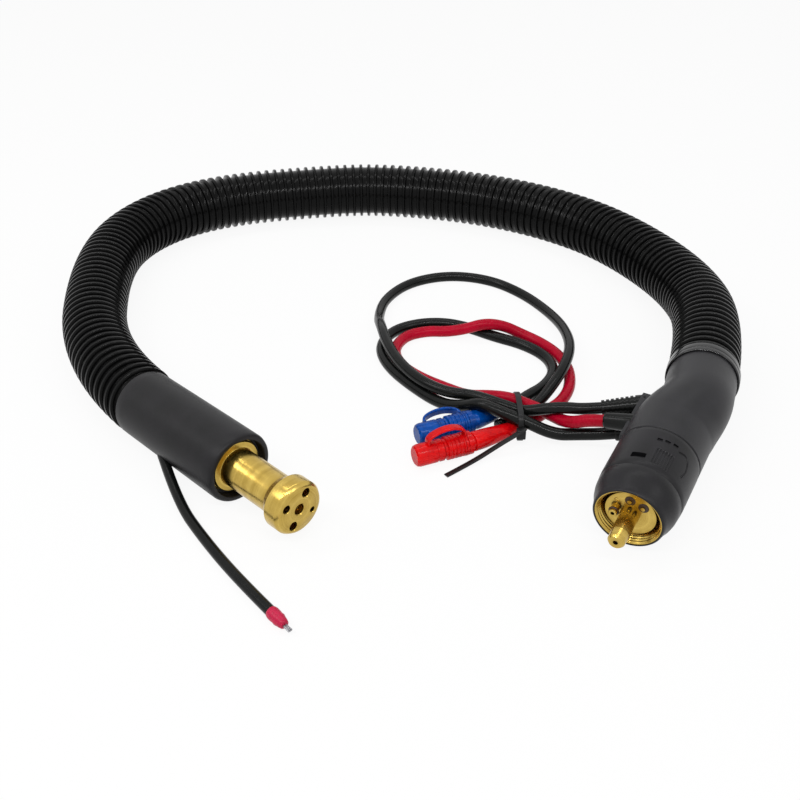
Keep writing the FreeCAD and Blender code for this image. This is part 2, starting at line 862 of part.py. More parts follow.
def make_torch_block():
    """The brass block that carries the torch neck, with its water, gas and wire passages."""
    block = placed(turned([
        (hub_rear - spigot_length, 0.0),
        (hub_rear - spigot_length, core_radius),
        (hub_rear, core_radius),
        (hub_rear, seat_radius),
        (hub_front, seat_radius),
        (hub_front, block_flange_radius),
        (block_flange_front, block_flange_radius),
        (block_flange_front, neck_radius),
        (neck_front, neck_radius),
        (head_rear, head_radius),
        (head_shoulder, head_radius),
        (block_face - 0.5, face_radius + 1.0),
        (block_face, face_radius),
        (block_face, 0.0),
    ]), boot_axes)
    lines = ((supply_angle, water_port_radius), (return_angle, water_port_radius), (gas_angle, gas_port_radius))
    for angle, _ in lines:
        block = block.fuse(boot_bar(hub_rear - barb_length, hub_rear + 1.0, barb_radius,
                                    *ring_place(line_circle_radius, angle)))
    block = block.cut(boot_bar(hub_rear - spigot_length, block_face, core_bore_radius))
    block = block.cut(boot_bar(block_face - wire_port_depth, block_face, wire_port_radius))
    for angle, port_radius in lines:
        port = boot_bar(block_face - port_depth, block_face, port_radius,
                        *ring_place(port_circle_radius, angle))
        passage = boot_bar(cross_drill_place, block_face - port_depth, passage_radius,
                           *ring_place(passage_circle_radius, angle))
        drill = rod(radial_place(cross_drill_place, passage_circle_radius, angle),
                    radial_place(cross_drill_place, line_circle_radius, angle), barb_bore_radius)
        entry = boot_bar(hub_rear - barb_length, cross_drill_place, barb_bore_radius,
                         *ring_place(line_circle_radius, angle))
        block = block.cut([port, passage, drill, entry])
    block = block.cut(boot_bar(block_face - port_depth, block_face, dowel_hole_radius,
                               *ring_place(port_circle_radius, dowel_angle)))
    return block.removeSplitter()


def make_cable_pieces():
    """Power cable, its crimps and the wire liner, all on the hose's centre line."""
    full = centre_route
    jacket_start = on_plug(manifold_rear + crimp_seat)
    jacket_end = on_boot(hub_rear - crimp_seat)
    jacket_route = [jacket_start] + full[1:-1] + [jacket_end]
    jacket = hollow_pipe(jacket_route, core_radius, cable_radius, "power_cable_tube")
    core = hollow_pipe(full, core_bore_radius, core_radius, "power_cable_core")
    plug_crimp = plug_bar(manifold_rear + crimp_seat, manifold_rear + crimp_seat + crimp_length, crimp_radius)
    plug_crimp = plug_crimp.cut(plug_bar(manifold_rear, cable_bend_station, cable_radius))
    block_crimp = boot_bar(hub_rear - crimp_seat - crimp_length, hub_rear - crimp_seat, crimp_radius)
    block_crimp = block_crimp.cut(boot_bar(-boot_length, hub_rear, cable_radius))
    liner_end = on_boot(block_face - wire_port_depth)
    liner_route = [on_plug(-pin_tip + 6.0)] + full[1:-1] + [liner_end]
    liner = hollow_pipe(liner_route, liner_wire_bore, liner_radius, "wire_liner")
    return jacket, core, plug_crimp, block_crimp, liner


def make_end_bush():
    """The guide at the end of the liner, inside the block's wire port."""
    return boot_bar(block_face - wire_port_depth - 10.0, block_face - wire_port_depth, core_bore_radius).cut(
        boot_bar(block_face - wire_port_depth - 10.0, block_face - wire_port_depth, liner_radius))


def wound_points(angle):
    """A line's places in the hose, from the housing's rear to the boot, half a turn round."""
    first = centre_route.index(hose_route[0])
    last = centre_route.index(hose_end)
    points = line_points(centre_route, angle - line_twist, angle, line_circle_radius, first, last)
    return points[first:last + 1]


def inner_line(start_points, angle, name):
    """A fluid line from its first points near the plug to its barb on the block."""
    end_point = radial_place(hub_rear, line_circle_radius, angle)
    return hollow_pipe(start_points + wound_points(angle) + [end_point], line_bore_radius, line_radius, name)


def line_entry(name):
    """First points of an inner line: in through its outlet, then round to the elbow."""
    root = outlets[name].multVec(V(-outlet_root, 0, 0))
    inner = on_plug(*outlet_inner[name])
    inward = (inner - root).normalize()
    turn = inward.getAngle(root - outlets[name].Base)
    clear = (line_radius * math.sin(turn) + slack) / math.cos(turn)
    return [root + inward * clear, inner, on_plug(elbow_line_station, *elbow_places[name])]


def make_lines():
    """Gas, supply and return lines and the control cable, wound once half round in the hose."""
    side, up = gas_barb_place()
    gas_entry = [on_plug(manifold_rear, side, up), on_plug(manifold_rear + gas_straight, side, up),
                 on_plug(elbow_line_station, *elbow_places["gas"])]
    gas = inner_line(gas_entry, gas_angle, "gas_hose")
    supply = inner_line(line_entry("black"), supply_angle, "water_supply_hose")
    back = inner_line(line_entry("red"), return_angle, "water_return_hose")
    points = line_entry("control") + wound_points(trigger_exit_angle) + [trigger_bend, trigger_start]
    control = pipe(points, line_radius, "control_cable")
    return gas, supply, back, control


def make_trigger_lead():
    """The control lead that leaves the boot, its heat-shrunk tip and its bare wires."""
    points = [trigger_start, trigger_start + trigger_direction * trigger_first_run]
    points += [spot(place) for place in trigger_points]
    print("trigger_lead points", [tuple(round(c, 1) for c in point) for point in points])
    lead = pipe(points, line_radius, "trigger_lead")
    ahead = (points[-1] - points[-2]).normalize()
    tip = rod(points[-1], points[-1] + ahead * tip_sleeve_length, tip_sleeve_radius)
    side = V(0, 0, 1).cross(ahead)
    wires = []
    for sign in (-1, 1):
        start = points[-1] + ahead * tip_sleeve_length + side * (sign * tip_wire_spread)
        wires.append(rod(start, start + ahead * tip_wire_length, tip_wire_radius))
    return lead, tip, Part.makeCompound(wires)


def lead_route(name, straight, places, ferrule_axes=None):
    """A loose lead's route: its outlet's straight, its places on the floor, and its ferrule."""
    start = outlets[name].multVec(V(-outlet_root, 0, 0))
    points = [start, outlets[name].multVec(V(straight, 0, 0))]
    points += [spot(place) for place in places]
    if ferrule_axes:
        points.append(ferrule_axes.multVec(V(-ferrule_approach, 0, 0)))
        points.append(ferrule_axes.multVec(V(ferrule_grip, 0, 0)))
    print(name, "lead points", [tuple(round(c, 1) for c in point) for point in points])
    return points


def make_ferrule(axes):
    """The tapered sleeve pressed over a water lead's end."""
    return placed(turned([
        (0.0, water_lead_radius + ferrule_clearance),
        (0.0, ferrule_entry_radius),
        (ferrule_length - 6.0, ferrule_radius),
        (ferrule_length, ferrule_radius),
        (ferrule_length, coupling_bore_radius),
        (ferrule_grip, coupling_bore_radius),
        (ferrule_grip, water_lead_radius + ferrule_clearance),
    ]), axes)


def make_coupling(axes, ferrule):
    """The body of a quick coupling, with the groove of its cap's strap."""
    body = placed(turned([
        (-coupling_overlap, coupling_bore_radius),
        (-coupling_overlap, coupling_root_radius),
        (0.5, coupling_root_radius),
        (1.0, coupling_grip_radius),
        (coupling_groove[0], coupling_grip_radius),
        (coupling_groove[0], coupling_groove_radius),
        (coupling_groove[1], coupling_groove_radius),
        (coupling_groove[1], coupling_grip_radius),
        (coupling_grip_end, coupling_grip_radius),
        (coupling_grip_end + 0.5, coupling_shoulder_radius),
        (coupling_shoulder_end, coupling_shoulder_radius),
        (coupling_shoulder_end, coupling_nose_radius),
        (coupling_nose_end, coupling_nose_radius - 0.4),
        (coupling_nose_end, coupling_bore_radius),
    ]), axes)
    return largest(body.cut(ferrule))


def make_cap(axes):
    """The dust cap on a coupling's nose."""
    front = coupling_shoulder_end + cap_front_gap
    bore = coupling_nose_radius + running_clearance
    return placed(turned([
        (front, bore),
        (front, cap_radius - 0.5),
        (front + 0.5, cap_radius),
        (cap_end - 1.2, cap_radius),
        (cap_end, cap_radius - 1.2),
        (cap_end, 0.0),
        (front + cap_depth, 0.0),
        (front + cap_depth, bore),
    ]), axes)


def make_strap(axes, roll):
    """The strap from the coupling's groove to the cap, arched up or to one side by its roll."""
    ring = tube(coupling_groove[0] + 0.1, coupling_groove[1] - 0.1, coupling_groove_radius, strap_ring_radius)
    start = (coupling_groove[0] + coupling_groove[1]) / 2
    inner = Part.Arc(V(start, 0, strap_ring_radius - 0.4), V((start + strap_reach) / 2, 0, strap_rise),
                     V(strap_reach, 0, cap_radius + slack)).toShape()
    outer = Part.Arc(V(start - strap_thickness, 0, strap_ring_radius - 0.4),
                     V((start + strap_reach) / 2, 0, strap_rise + strap_thickness),
                     V(strap_reach + strap_thickness, 0, cap_radius + slack)).toShape()
    ends = [Part.makeLine(inner.Vertexes[0].Point, outer.Vertexes[0].Point),
            Part.makeLine(inner.Vertexes[-1].Point, outer.Vertexes[-1].Point)]
    face = Part.Face(Part.Wire(Part.__sortEdges__([inner, ends[1], outer, ends[0]])))
    band = face.extrude(V(0, strap_width, 0))
    band.translate(V(0, -strap_width / 2, 0))
    band = band.cut(bar(0.0, coupling_shoulder_end, coupling_grip_radius + 0.05))
    strap = ring.fuse(band).removeSplitter()
    strap.rotate(V(0, 0, 0), V(1, 0, 0), roll)
    return placed_on(strap, axes)


def make_tie():
    """The cable tie: its loop round the crossing leads, its head and its cut tail."""
    corner = spot((tie_place - tie_width / 2, tie_front, 0.0))
    outer = Part.makeBox(tie_width, tie_back - tie_front, tie_top, corner)
    outer = outer.makeFillet(tie_corner, [edge for edge in outer.Edges if is_along_x(edge)])
    inner = Part.makeBox(tie_width, tie_back - tie_front - 2 * tie_thickness, tie_top - 2 * tie_thickness,
                         corner + V(0, tie_thickness, tie_thickness))
    inner = inner.makeFillet(tie_corner - tie_thickness, [edge for edge in inner.Edges if is_along_x(edge)])
    loop = outer.cut(inner)
    head_corner = spot((tie_place - tie_head[0] / 2, tie_front - tie_head[1], slack))
    head = Part.makeBox(*tie_head, head_corner)
    head = head.fuse(Part.makeBox(tie_width, 2.0, tie_head[2] - 2.0,
                                  spot((tie_place - tie_width / 2, tie_front - 1.0, 1.0))))
    start = spot(tie_tail_start)
    end = spot(tie_tail_end)
    run = end - start
    azimuth = math.degrees(math.atan2(run.y, run.x))
    rise = math.degrees(math.asin(run.z / run.Length))
    tail = Part.makeBox(run.Length, tie_width, tie_thickness, V(0, -tie_width / 2, -tie_thickness / 2))
    return loop.fuse([head, placed(tail, axes_at(start, azimuth, rise))]).removeSplitter()


def is_along_x(edge):
    """True for a straight edge that runs along x."""
    return edge.BoundBox.YLength + edge.BoundBox.ZLength < 1e-6


nodes = {}
nodes["union_nut"] = make_union_nut()
nodes["nut_insert"] = make_nut_insert()
nodes["retaining_ring"] = make_retaining_ring()
nodes["plug_body"] = make_plug_body()
nodes["guide_pin"] = make_guide_pin()
nodes["liner_nipple"] = make_liner_nipple()
nodes["gas_nipple"] = make_gas_nipple()
nodes["gas_nipple_ring"] = make_gas_ring()
nodes["control_pin_bushes"] = Part.makeCompound([make_bush(control_top), make_bush(control_side)])
nodes["control_pin_top"] = make_control_pin(control_top)
nodes["control_pin_side"] = make_control_pin(control_side)
nodes["control_spring_top"] = make_control_spring(control_top)
nodes["control_spring_side"] = make_control_spring(control_side)
nodes["housing_upper"], nodes["housing_lower"], nodes["housing_screws"] = make_housing()
nodes["hose_clamp_ring"] = make_clamp_ring()
nodes["control_lead_relief"] = make_relief()
nodes["red_lead_sleeve"] = make_sleeve("red")
nodes["black_lead_sleeve"] = make_sleeve("black")
nodes["corrugated_hose"] = make_hose()
nodes["end_boot"] = make_boot()
nodes["torch_block"] = make_torch_block()
(nodes["power_cable_tube"], nodes["power_cable_core"], nodes["plug_crimp"],
 nodes["block_crimp"], nodes["wire_liner"]) = make_cable_pieces()
nodes["liner_end_bush"] = make_end_bush()
(nodes["gas_hose"], nodes["water_supply_hose"], nodes["water_return_hose"],
 nodes["control_cable"]) = make_lines()
nodes["trigger_lead"], nodes["trigger_lead_tip"], nodes["trigger_lead_wires"] = make_trigger_lead()

red_ferrule_axes = axes_at(spot(red_ferrule_start), red_ferrule_azimuth, ferrule_rise)
blue_ferrule_axes = axes_at(spot(blue_ferrule_start), blue_ferrule_azimuth, ferrule_rise)
nodes["control_lead"] = pipe(lead_route("control", control_lead_straight, control_lead_points),
                             control_lead_radius, "control_lead")
nodes["red_lead"] = pipe(lead_route("red", red_lead_straight, red_lead_points, red_ferrule_axes),
                         water_lead_radius, "red_lead")
nodes["blue_lead"] = pipe(lead_route("black", black_lead_straight, black_lead_points, blue_ferrule_axes),
                          water_lead_radius, "blue_lead")
lead_end = [spot(place) for place in control_lead_points[-2:]]
lead_ahead = (lead_end[1] - lead_end[0]).normalize()
nodes["control_lead_end"] = rod(lead_end[1], lead_end[1] + lead_ahead * lead_end_length, lead_end_radius)
for colour, ferrule_axes, roll in (("red", red_ferrule_axes, 0.0), ("blue", blue_ferrule_axes, 80.0)):
    ferrule = make_ferrule(ferrule_axes)
    coupling_axes = axes_at(ferrule_axes.multVec(V(ferrule_length, 0, 0)), coupling_azimuth, 0.0)
    nodes[colour + "_ferrule"] = ferrule
    nodes[colour + "_coupling"] = make_coupling(coupling_axes, ferrule)
    nodes[colour + "_cap"] = make_cap(coupling_axes)
    nodes[colour + "_cap_strap"] = make_strap(coupling_axes, roll)
    print(colour, "coupling origin", [round(c, 2) for c in coupling_axes.Base])
nodes["lead_tie"] = make_tie()

for name, shape in nodes.items():
    if not shape.isValid() or not shape.Solids:
        print("NOT A GOOD SOLID", name)
    if len(shape.Solids) > 1 and name not in ("control_pin_bushes", "housing_screws", "trigger_lead_wires"):
        print("MANY SOLIDS", name, len(shape.Solids))
    shape.exportStep("parts/" + name + ".step")

loose = ("trigger_lead", "trigger_lead_tip", "trigger_lead_wires", "control_lead", "control_lead_end",
         "red_lead", "red_ferrule", "red_coupling", "red_cap", "red_cap_strap",
         "blue_lead", "blue_ferrule", "blue_coupling", "blue_cap", "blue_cap_strap", "lead_tie")
body = Part.makeCompound([shape for name, shape in nodes.items() if name not in loose])
for title, shape in (("without leads", body), ("all", Part.makeCompound(list(nodes.values())))):
    box = shape.optimalBoundingBox()
    print(title, "x %.1f %.1f" % (box.XMin, box.XMax), "y %.1f %.1f" % (box.YMin, box.YMax),
          "z %.2f %.2f" % (box.ZMin, box.ZMax))
print("nodes", len(nodes))
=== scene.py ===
import math
import bpy
from mathutils import Matrix, Vector


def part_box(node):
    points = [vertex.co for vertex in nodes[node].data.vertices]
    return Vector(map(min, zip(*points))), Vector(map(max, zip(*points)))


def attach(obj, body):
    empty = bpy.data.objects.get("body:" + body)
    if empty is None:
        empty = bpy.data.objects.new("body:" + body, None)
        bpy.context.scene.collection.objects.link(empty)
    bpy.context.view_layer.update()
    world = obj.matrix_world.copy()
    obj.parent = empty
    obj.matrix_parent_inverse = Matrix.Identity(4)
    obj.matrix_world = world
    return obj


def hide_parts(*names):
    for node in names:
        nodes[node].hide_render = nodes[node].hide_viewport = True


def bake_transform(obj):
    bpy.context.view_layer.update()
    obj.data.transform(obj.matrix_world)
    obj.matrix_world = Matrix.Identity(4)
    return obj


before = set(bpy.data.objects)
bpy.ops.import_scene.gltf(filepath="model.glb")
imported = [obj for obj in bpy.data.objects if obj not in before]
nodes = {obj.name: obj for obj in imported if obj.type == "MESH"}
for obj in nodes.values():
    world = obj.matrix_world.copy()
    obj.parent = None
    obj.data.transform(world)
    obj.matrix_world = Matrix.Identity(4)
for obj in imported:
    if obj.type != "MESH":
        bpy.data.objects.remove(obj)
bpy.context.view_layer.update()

mm = 0.001
print("frame loaded, nodes:", len(nodes))


def clearSelection():
    bpy.ops.object.select_all(action="DESELECT")
    bpy.context.view_layer.objects.active = None


def pick(*pieces):
    clearSelection()
    for piece in pieces:
        piece.select_set(True)
    bpy.context.view_layer.objects.active = pieces[0]


# camera, standing where the photograph was taken
view = {"place": (7.2, -650.3, 400.0), "pitch": 34.6, "lens": 49.5}
clearSelection()
bpy.ops.object.camera_add(location=Vector(view["place"]) * mm,
                          rotation=(math.radians(90 - view["pitch"]), 0, 0))
camera = bpy.context.object
camera.data.lens = view["lens"]
camera.data.clip_start = 0.01
bpy.context.scene.camera = camera
print("camera placed")

# routes of everything that bends, in millimetres
routes = {
    "hose": [
        (184.5, -111.1, 35.1), (210.4, -38.1, 33.1), (210.2, 41.7, 24.5), (173.6, 120.8, 21.2),
        (127.5, 163.8, 21.2), (70.4, 192.9, 21.2), (2.8, 208.5, 21.2), (-44.7, 208.5, 21.2),
        (-142.8, 187.7, 21.2), (-195.8, 142.2, 21.2), (-213.8, 73.2, 21.2), (-190.1, -61.9, 21.2),
        (-133.2, -117.8, 21.2),
    ],
    "control": [
        (152.6, -117.7, 29.4), (119.7, -113.0, 22.4), (104.7, -110.8, 22.5), (93.2, -107.5, 19.0),
        (81.7, -102.8, 13.6), (66.7, -95.3, 15.2), (52.7, -85.0, 13.8), (36.0, -79.0, 11.8),
        (19.0, -64.4, 11.6), (6.2, -43.4, 11.9), (-1.8, -20.6, 12.4), (-5.5, 0.5, 12.4), (-8.3, 23.7, 5.2),
        (-4.3, 53.7, 3.7), (14.2, 79.7, 3.7), (44.2, 91.2, 3.7), (75.2, 83.7, 3.7),
        (98.2, 61.7, 3.7), (114.2, 33.7, 4.2), (121.2, 2.7, 9.0), (121.2, -28.3, 12.8),
        (111.2, -57.3, 12.0), (95.2, -79.8, 4.4), (80.7, -94.8, 4.9), (73.7, -100.3, 4.3),
        (70.7, -102.2, 4.3),
    ],
    "red": [
        (142.5, -136.6, 29.3), (121.7, -125.5, 24.3), (107.2, -116.8, 15.0), (97.7, -103.5, 12.8),
        (85.2, -94.6, 13.6), (74.2, -87.3, 13.6), (62.2, -79.8, 9.8), (50.2, -72.1, 4.4),
        (38.2, -63.8, 3.9), (20.0, -50.4, 3.9), (7.4, -35.2, 3.9), (2.6, -16.0, 3.9),
        (10.6, 2.0, 3.9), (26.0, 8.6, 3.9), (39.5, 6.8, 4.4), (52.5, 4.2, 8.2),
        (65.5, 4.2, 12.7), (79.0, 6.4, 9.6), (91.5, 4.0, 4.3), (103.8, -6.8, 3.9),
        (114.2, -22.3, 3.9), (119.0, -41.3, 3.9),
        (116.8, -62.3, 3.9), (109.2, -78.3, 3.9), (98.0, -90.3, 4.9), (84.6, -104.0, 4.9),
        (67.8, -114.6, 6.3),
    ],
    "black": [
        (151.9, -127.3, 17.4), (128.7, -124.0, 12.4), (114.2, -119.8, 9.2), (99.2, -119.4, 8.6),
        (81.5, -112.4, 14.0), (67.2, -106.3, 16.4), (56.2, -98.8, 17.4), (45.7, -91.0, 9.4),
        (32.7, -81.0, 4.3), (15.0, -60.4, 3.9), (-0.8, -37.0, 3.9), (-7.0, -13.0, 3.9),
        (1.2, 7.9, 3.9), (18.2, 18.4, 3.9), (38.2, 20.2, 3.9), (56.0, 13.0, 3.9),
        (72.0, 1.4, 3.9), (91.4, -8.8, 3.9), (105.8, -24.3, 3.9), (109.4, -43.3, 3.9),
        (100.2, -61.8, 4.2), (87.2, -73.8, 5.0), (74.5, -88.2, 4.9),
        (57.5, -98.8, 6.3),
    ],
    "trigger": [
        (-129.5, -146.2, 11.9), (-116.6, -177.9, 4.7), (-97.3, -207.8, 3.3), (-75.4, -238.0, 3.3),
        (-55.8, -261.8, 3.6),
    ],
}


def layRoute(name, points, radius=0.0, fineness=12):
    data = bpy.data.curves.new(name, "CURVE")
    data.dimensions = "3D"
    line = data.splines.new("NURBS")
    line.points.add(len(points) - 1)
    for knot, place in zip(line.points, points):
        knot.co = (*(Vector(place) * mm), 1.0)
    line.order_u = 3
    line.use_endpoint_u = True
    line.resolution_u = data.resolution_u = fineness
    data.bevel_depth = radius * mm
    data.bevel_resolution = 6
    data.use_fill_caps = True
    cord = bpy.data.objects.new(name, data)
    bpy.context.collection.objects.link(cord)
    return cord


def readPath(route):
    bpy.context.view_layer.update()
    mesh = bpy.data.meshes.new_from_object(route)
    path = [vertex.co.copy() for vertex in mesh.vertices]
    bpy.data.meshes.remove(mesh)
    return path


leads = {"controlRadius": 3.6, "waterRadius": 3.8, "triggerRadius": 3.0}
hoseLine = layRoute("hoseLine", routes["hose"], fineness=24)
controlLead = layRoute("controlLead", routes["control"], leads["controlRadius"])
redLead = layRoute("redLead", routes["red"], leads["waterRadius"])
blackLead = layRoute("blackLead", routes["black"], leads["waterRadius"])
triggerLead = layRoute("triggerLead", routes["trigger"], leads["triggerRadius"])
print("cords laid")


# making and finishing solids
def axesAt(place, azimuth, rise=0.0):
    turn = Matrix.Rotation(math.radians(azimuth), 4, "Z") @ Matrix.Rotation(math.radians(-rise), 4, "Y")
    return Matrix.Translation(Vector(place) * mm) @ turn


plugAxes = axesAt((126.33, -211.69, 21.75), -118.5, -6.0)
rearAxes = axesAt((191.2, -92.3, 34.6), 250.5, 1.5)
bootAxes = axesAt((-81.5, -168.6, 21.25), -44.5)
redAxes = axesAt((55.125, -122.623, 7.431), 203.0)
blueAxes = axesAt((44.856, -106.712, 7.431), 203.0)
redFerruleAxes = axesAt((76.2, -109.3, 5.6), 212.3, 4.2)
blueFerruleAxes = axesAt((66.0, -93.5, 5.6), 212.0, 4.2)
straight = Matrix.Identity(4)


def routeAxes(name, before, after, place):
    # axes at one point of a route, with x running from one of its points to another
    first, second, origin = (Vector(routes[name][index]) * mm for index in (before, after, place))
    run = (second - first).normalized()
    return Matrix.Translation(origin) @ run.to_track_quat("X", "Z").to_matrix().to_4x4()


def applyAll(piece):
    pick(piece)
    for modifier in list(piece.modifiers):
        bpy.ops.object.modifier_apply(modifier=modifier.name)


def facesOut(piece):
    pick(piece)
    bpy.ops.object.mode_set(mode="EDIT")
    bpy.ops.mesh.select_all(action="SELECT")
    bpy.ops.mesh.remove_doubles(threshold=1e-6)
    bpy.ops.mesh.normals_make_consistent(inside=False)
    bpy.ops.object.mode_set(mode="OBJECT")


def turnPiece(name, outline, axes, sides=64, form="ring"):
    # form: ring closes the outline on itself, solid has end faces, open has neither
    clearSelection()
    start, radius = outline[0]
    bpy.ops.mesh.primitive_circle_add(vertices=sides, radius=radius * mm,
                                      fill_type="NGON" if form == "solid" else "NOTHING")
    piece = bpy.context.object
    piece.name = name
    bpy.ops.object.mode_set(mode="EDIT")
    bpy.ops.mesh.select_all(action="SELECT")
    bpy.ops.transform.translate(value=(0, 0, start * mm))
    for (start, radius), (end, nextRadius) in zip(outline, outline[1:]):
        bpy.ops.mesh.extrude_region_move(TRANSFORM_OT_translate={"value": (0, 0, (end - start) * mm)})
        growth = nextRadius / radius
        bpy.ops.transform.resize(value=(growth, growth, 1), center_override=(0, 0, end * mm))
    if form == "ring":
        bpy.ops.mesh.select_all(action="DESELECT")
        bpy.ops.mesh.select_non_manifold(use_wire=False, use_multi_face=False, use_non_contiguous=False,
                                         use_verts=False)
        bpy.ops.mesh.bridge_edge_loops()
    if form != "open":
        bpy.ops.mesh.select_all(action="SELECT")
        bpy.ops.mesh.normals_make_consistent(inside=False)
    bpy.ops.object.mode_set(mode="OBJECT")
    piece.data.transform(axes @ Matrix.Rotation(math.radians(90), 4, "Y"))
    return piece


def roundEdges(piece, width, segments=2, angle=30):
    rounding = piece.modifiers.new("rounding", "BEVEL")
    rounding.width = width * mm
    rounding.segments = segments
    rounding.limit_method = "ANGLE"
    rounding.angle_limit = math.radians(angle)
    applyAll(piece)


def smoothOver(piece, angle=32):
    pick(piece)
    bpy.ops.object.shade_smooth_by_angle(angle=math.radians(angle))


def joinPieces(pieces, name):
    pick(*pieces)
    bpy.ops.object.join()
    joined = bpy.context.object
    joined.name = name
    return joined


def cutAway(piece, cutters):
    tool = joinPieces(cutters, "tool") if len(cutters) > 1 else cutters[0]
    cut = piece.modifiers.new("cut", "BOOLEAN")
    cut.operation = "DIFFERENCE"
    cut.solver = "EXACT"
    cut.use_self = len(cutters) > 1
    cut.object = tool
    applyAll(piece)
    bpy.data.objects.remove(tool)


def drillBit(axes, start, end, radius, side=0.0, up=0.0, chamfer=0.4, sides=32):
    # a bit whose mouth, at end, opens out into a chamfer
    outline = [(start, radius), (end - chamfer, radius), (end + chamfer, radius + 2 * chamfer)]
    return turnPiece("bit", outline, axes @ Matrix.Translation((0, side * mm, up * mm)), sides, "solid")


def blockPiece(name, size, axes, bevel):
    clearSelection()
    bpy.ops.mesh.primitive_cube_add(size=1.0)
    piece = bpy.context.object
    piece.name = name
    bpy.ops.object.mode_set(mode="EDIT")
    bpy.ops.mesh.select_all(action="SELECT")
    bpy.ops.transform.resize(value=[edge * mm for edge in size], center_override=(0, 0, 0))
    bpy.ops.mesh.bevel(offset=bevel * mm, segments=3, affect="EDGES")
    bpy.ops.object.mode_set(mode="OBJECT")
    piece.data.transform(axes)
    return piece


def roundPlace(station, angle, radius):
    # a place on the plug: distance behind the rim, then angle from the top towards the right
    turn = math.radians(angle)
    return (-station, radius * math.sin(turn), radius * math.cos(turn))


# finishes
class Reading:
    # a socket of a finish, whose sums become Math nodes
    def __init__(self, finish, socket):
        self.finish = finish
        self.socket = socket

    def worked(self, operation, first, second):
        return self.finish.add("ShaderNodeMath", {"operation": operation}, {0: first, 1: second})

    def other(self, output):
        return Reading(self.finish, self.socket.node.outputs[output])

    def __add__(self, value):
        return self.worked("ADD", self, value)

    def __radd__(self, value):
        return self.worked("ADD", value, self)

    def __sub__(self, value):
        return self.worked("SUBTRACT", self, value)

    def __mul__(self, value):
        return self.worked("MULTIPLY", self, value)

    def __rmul__(self, value):
        return self.worked("MULTIPLY", value, self)

    def __pow__(self, value):
        return self.worked("POWER", self, value)

    def atMost(self, value):
        return self.worked("MINIMUM", self, value)


class Finish:
    # the nodes of a material or of the world
    def __init__(self, owner, ending="ShaderNodeOutputMaterial"):
        owner.use_nodes = True
        self.owner = owner
        self.tree = owner.node_tree
        self.tree.nodes.clear()
        self.end = self.tree.nodes.new(ending)

    def add(self, kind, settings=None, values=None, output=0):
        node = self.tree.nodes.new(kind)
        for key, value in (settings or {}).items():
            if key == "stops":
                for stop, (place, shade) in zip(node.color_ramp.elements, value):
                    stop.position = place
                    stop.color = (shade, shade, shade, 1)
            else:
                setattr(node, key, value)
        for key, value in (values or {}).items():
            if isinstance(value, Reading):
                self.tree.links.new(value.socket, node.inputs[key])
            else:
                node.inputs[key].default_value = value
        return Reading(self, node.outputs[output])

    def places(self, axes=None):
        # where a point of the surface is, on the piece's own axes when they are given
        place = self.add("ShaderNodeTexCoord", output=3)
        if axes is None:
            return place
        back = axes.inverted()
        return self.add("ShaderNodeMapping", {}, {"Vector": place, "Location": back.translation,
                                                  "Rotation": back.to_euler()})

    def noise(self, place, scale, detail=2.0, roughness=0.5):
        return self.add("ShaderNodeTexNoise", {}, {"Vector": place, "Scale": scale, "Detail": detail,
                                                   "Roughness": roughness})

    def ramp(self, factor, low, high):
        return self.add("ShaderNodeValToRGB", {"stops": [(low, 0.0), (high, 1.0)]}, {0: factor})

    def tones(self, factor, first, second):
        return self.add("ShaderNodeMix", {"data_type": "RGBA"}, {0: factor, 6: second, 7: first}, 2)

    def bump(self, height, depth):
        return self.add("ShaderNodeBump", {}, {"Height": height, "Distance": depth * mm, "Strength": 1.0})

    def show(self, reading):
        self.tree.links.new(reading.socket, self.end.inputs["Surface"])
        return self.owner

    def cover(self, **values):
        names = {key.replace("_", " "): value for key, value in values.items()}
        return self.show(self.add("ShaderNodeBsdfPrincipled", {}, names))


def plain(red, green, blue):
    return (red, green, blue, 1.0)


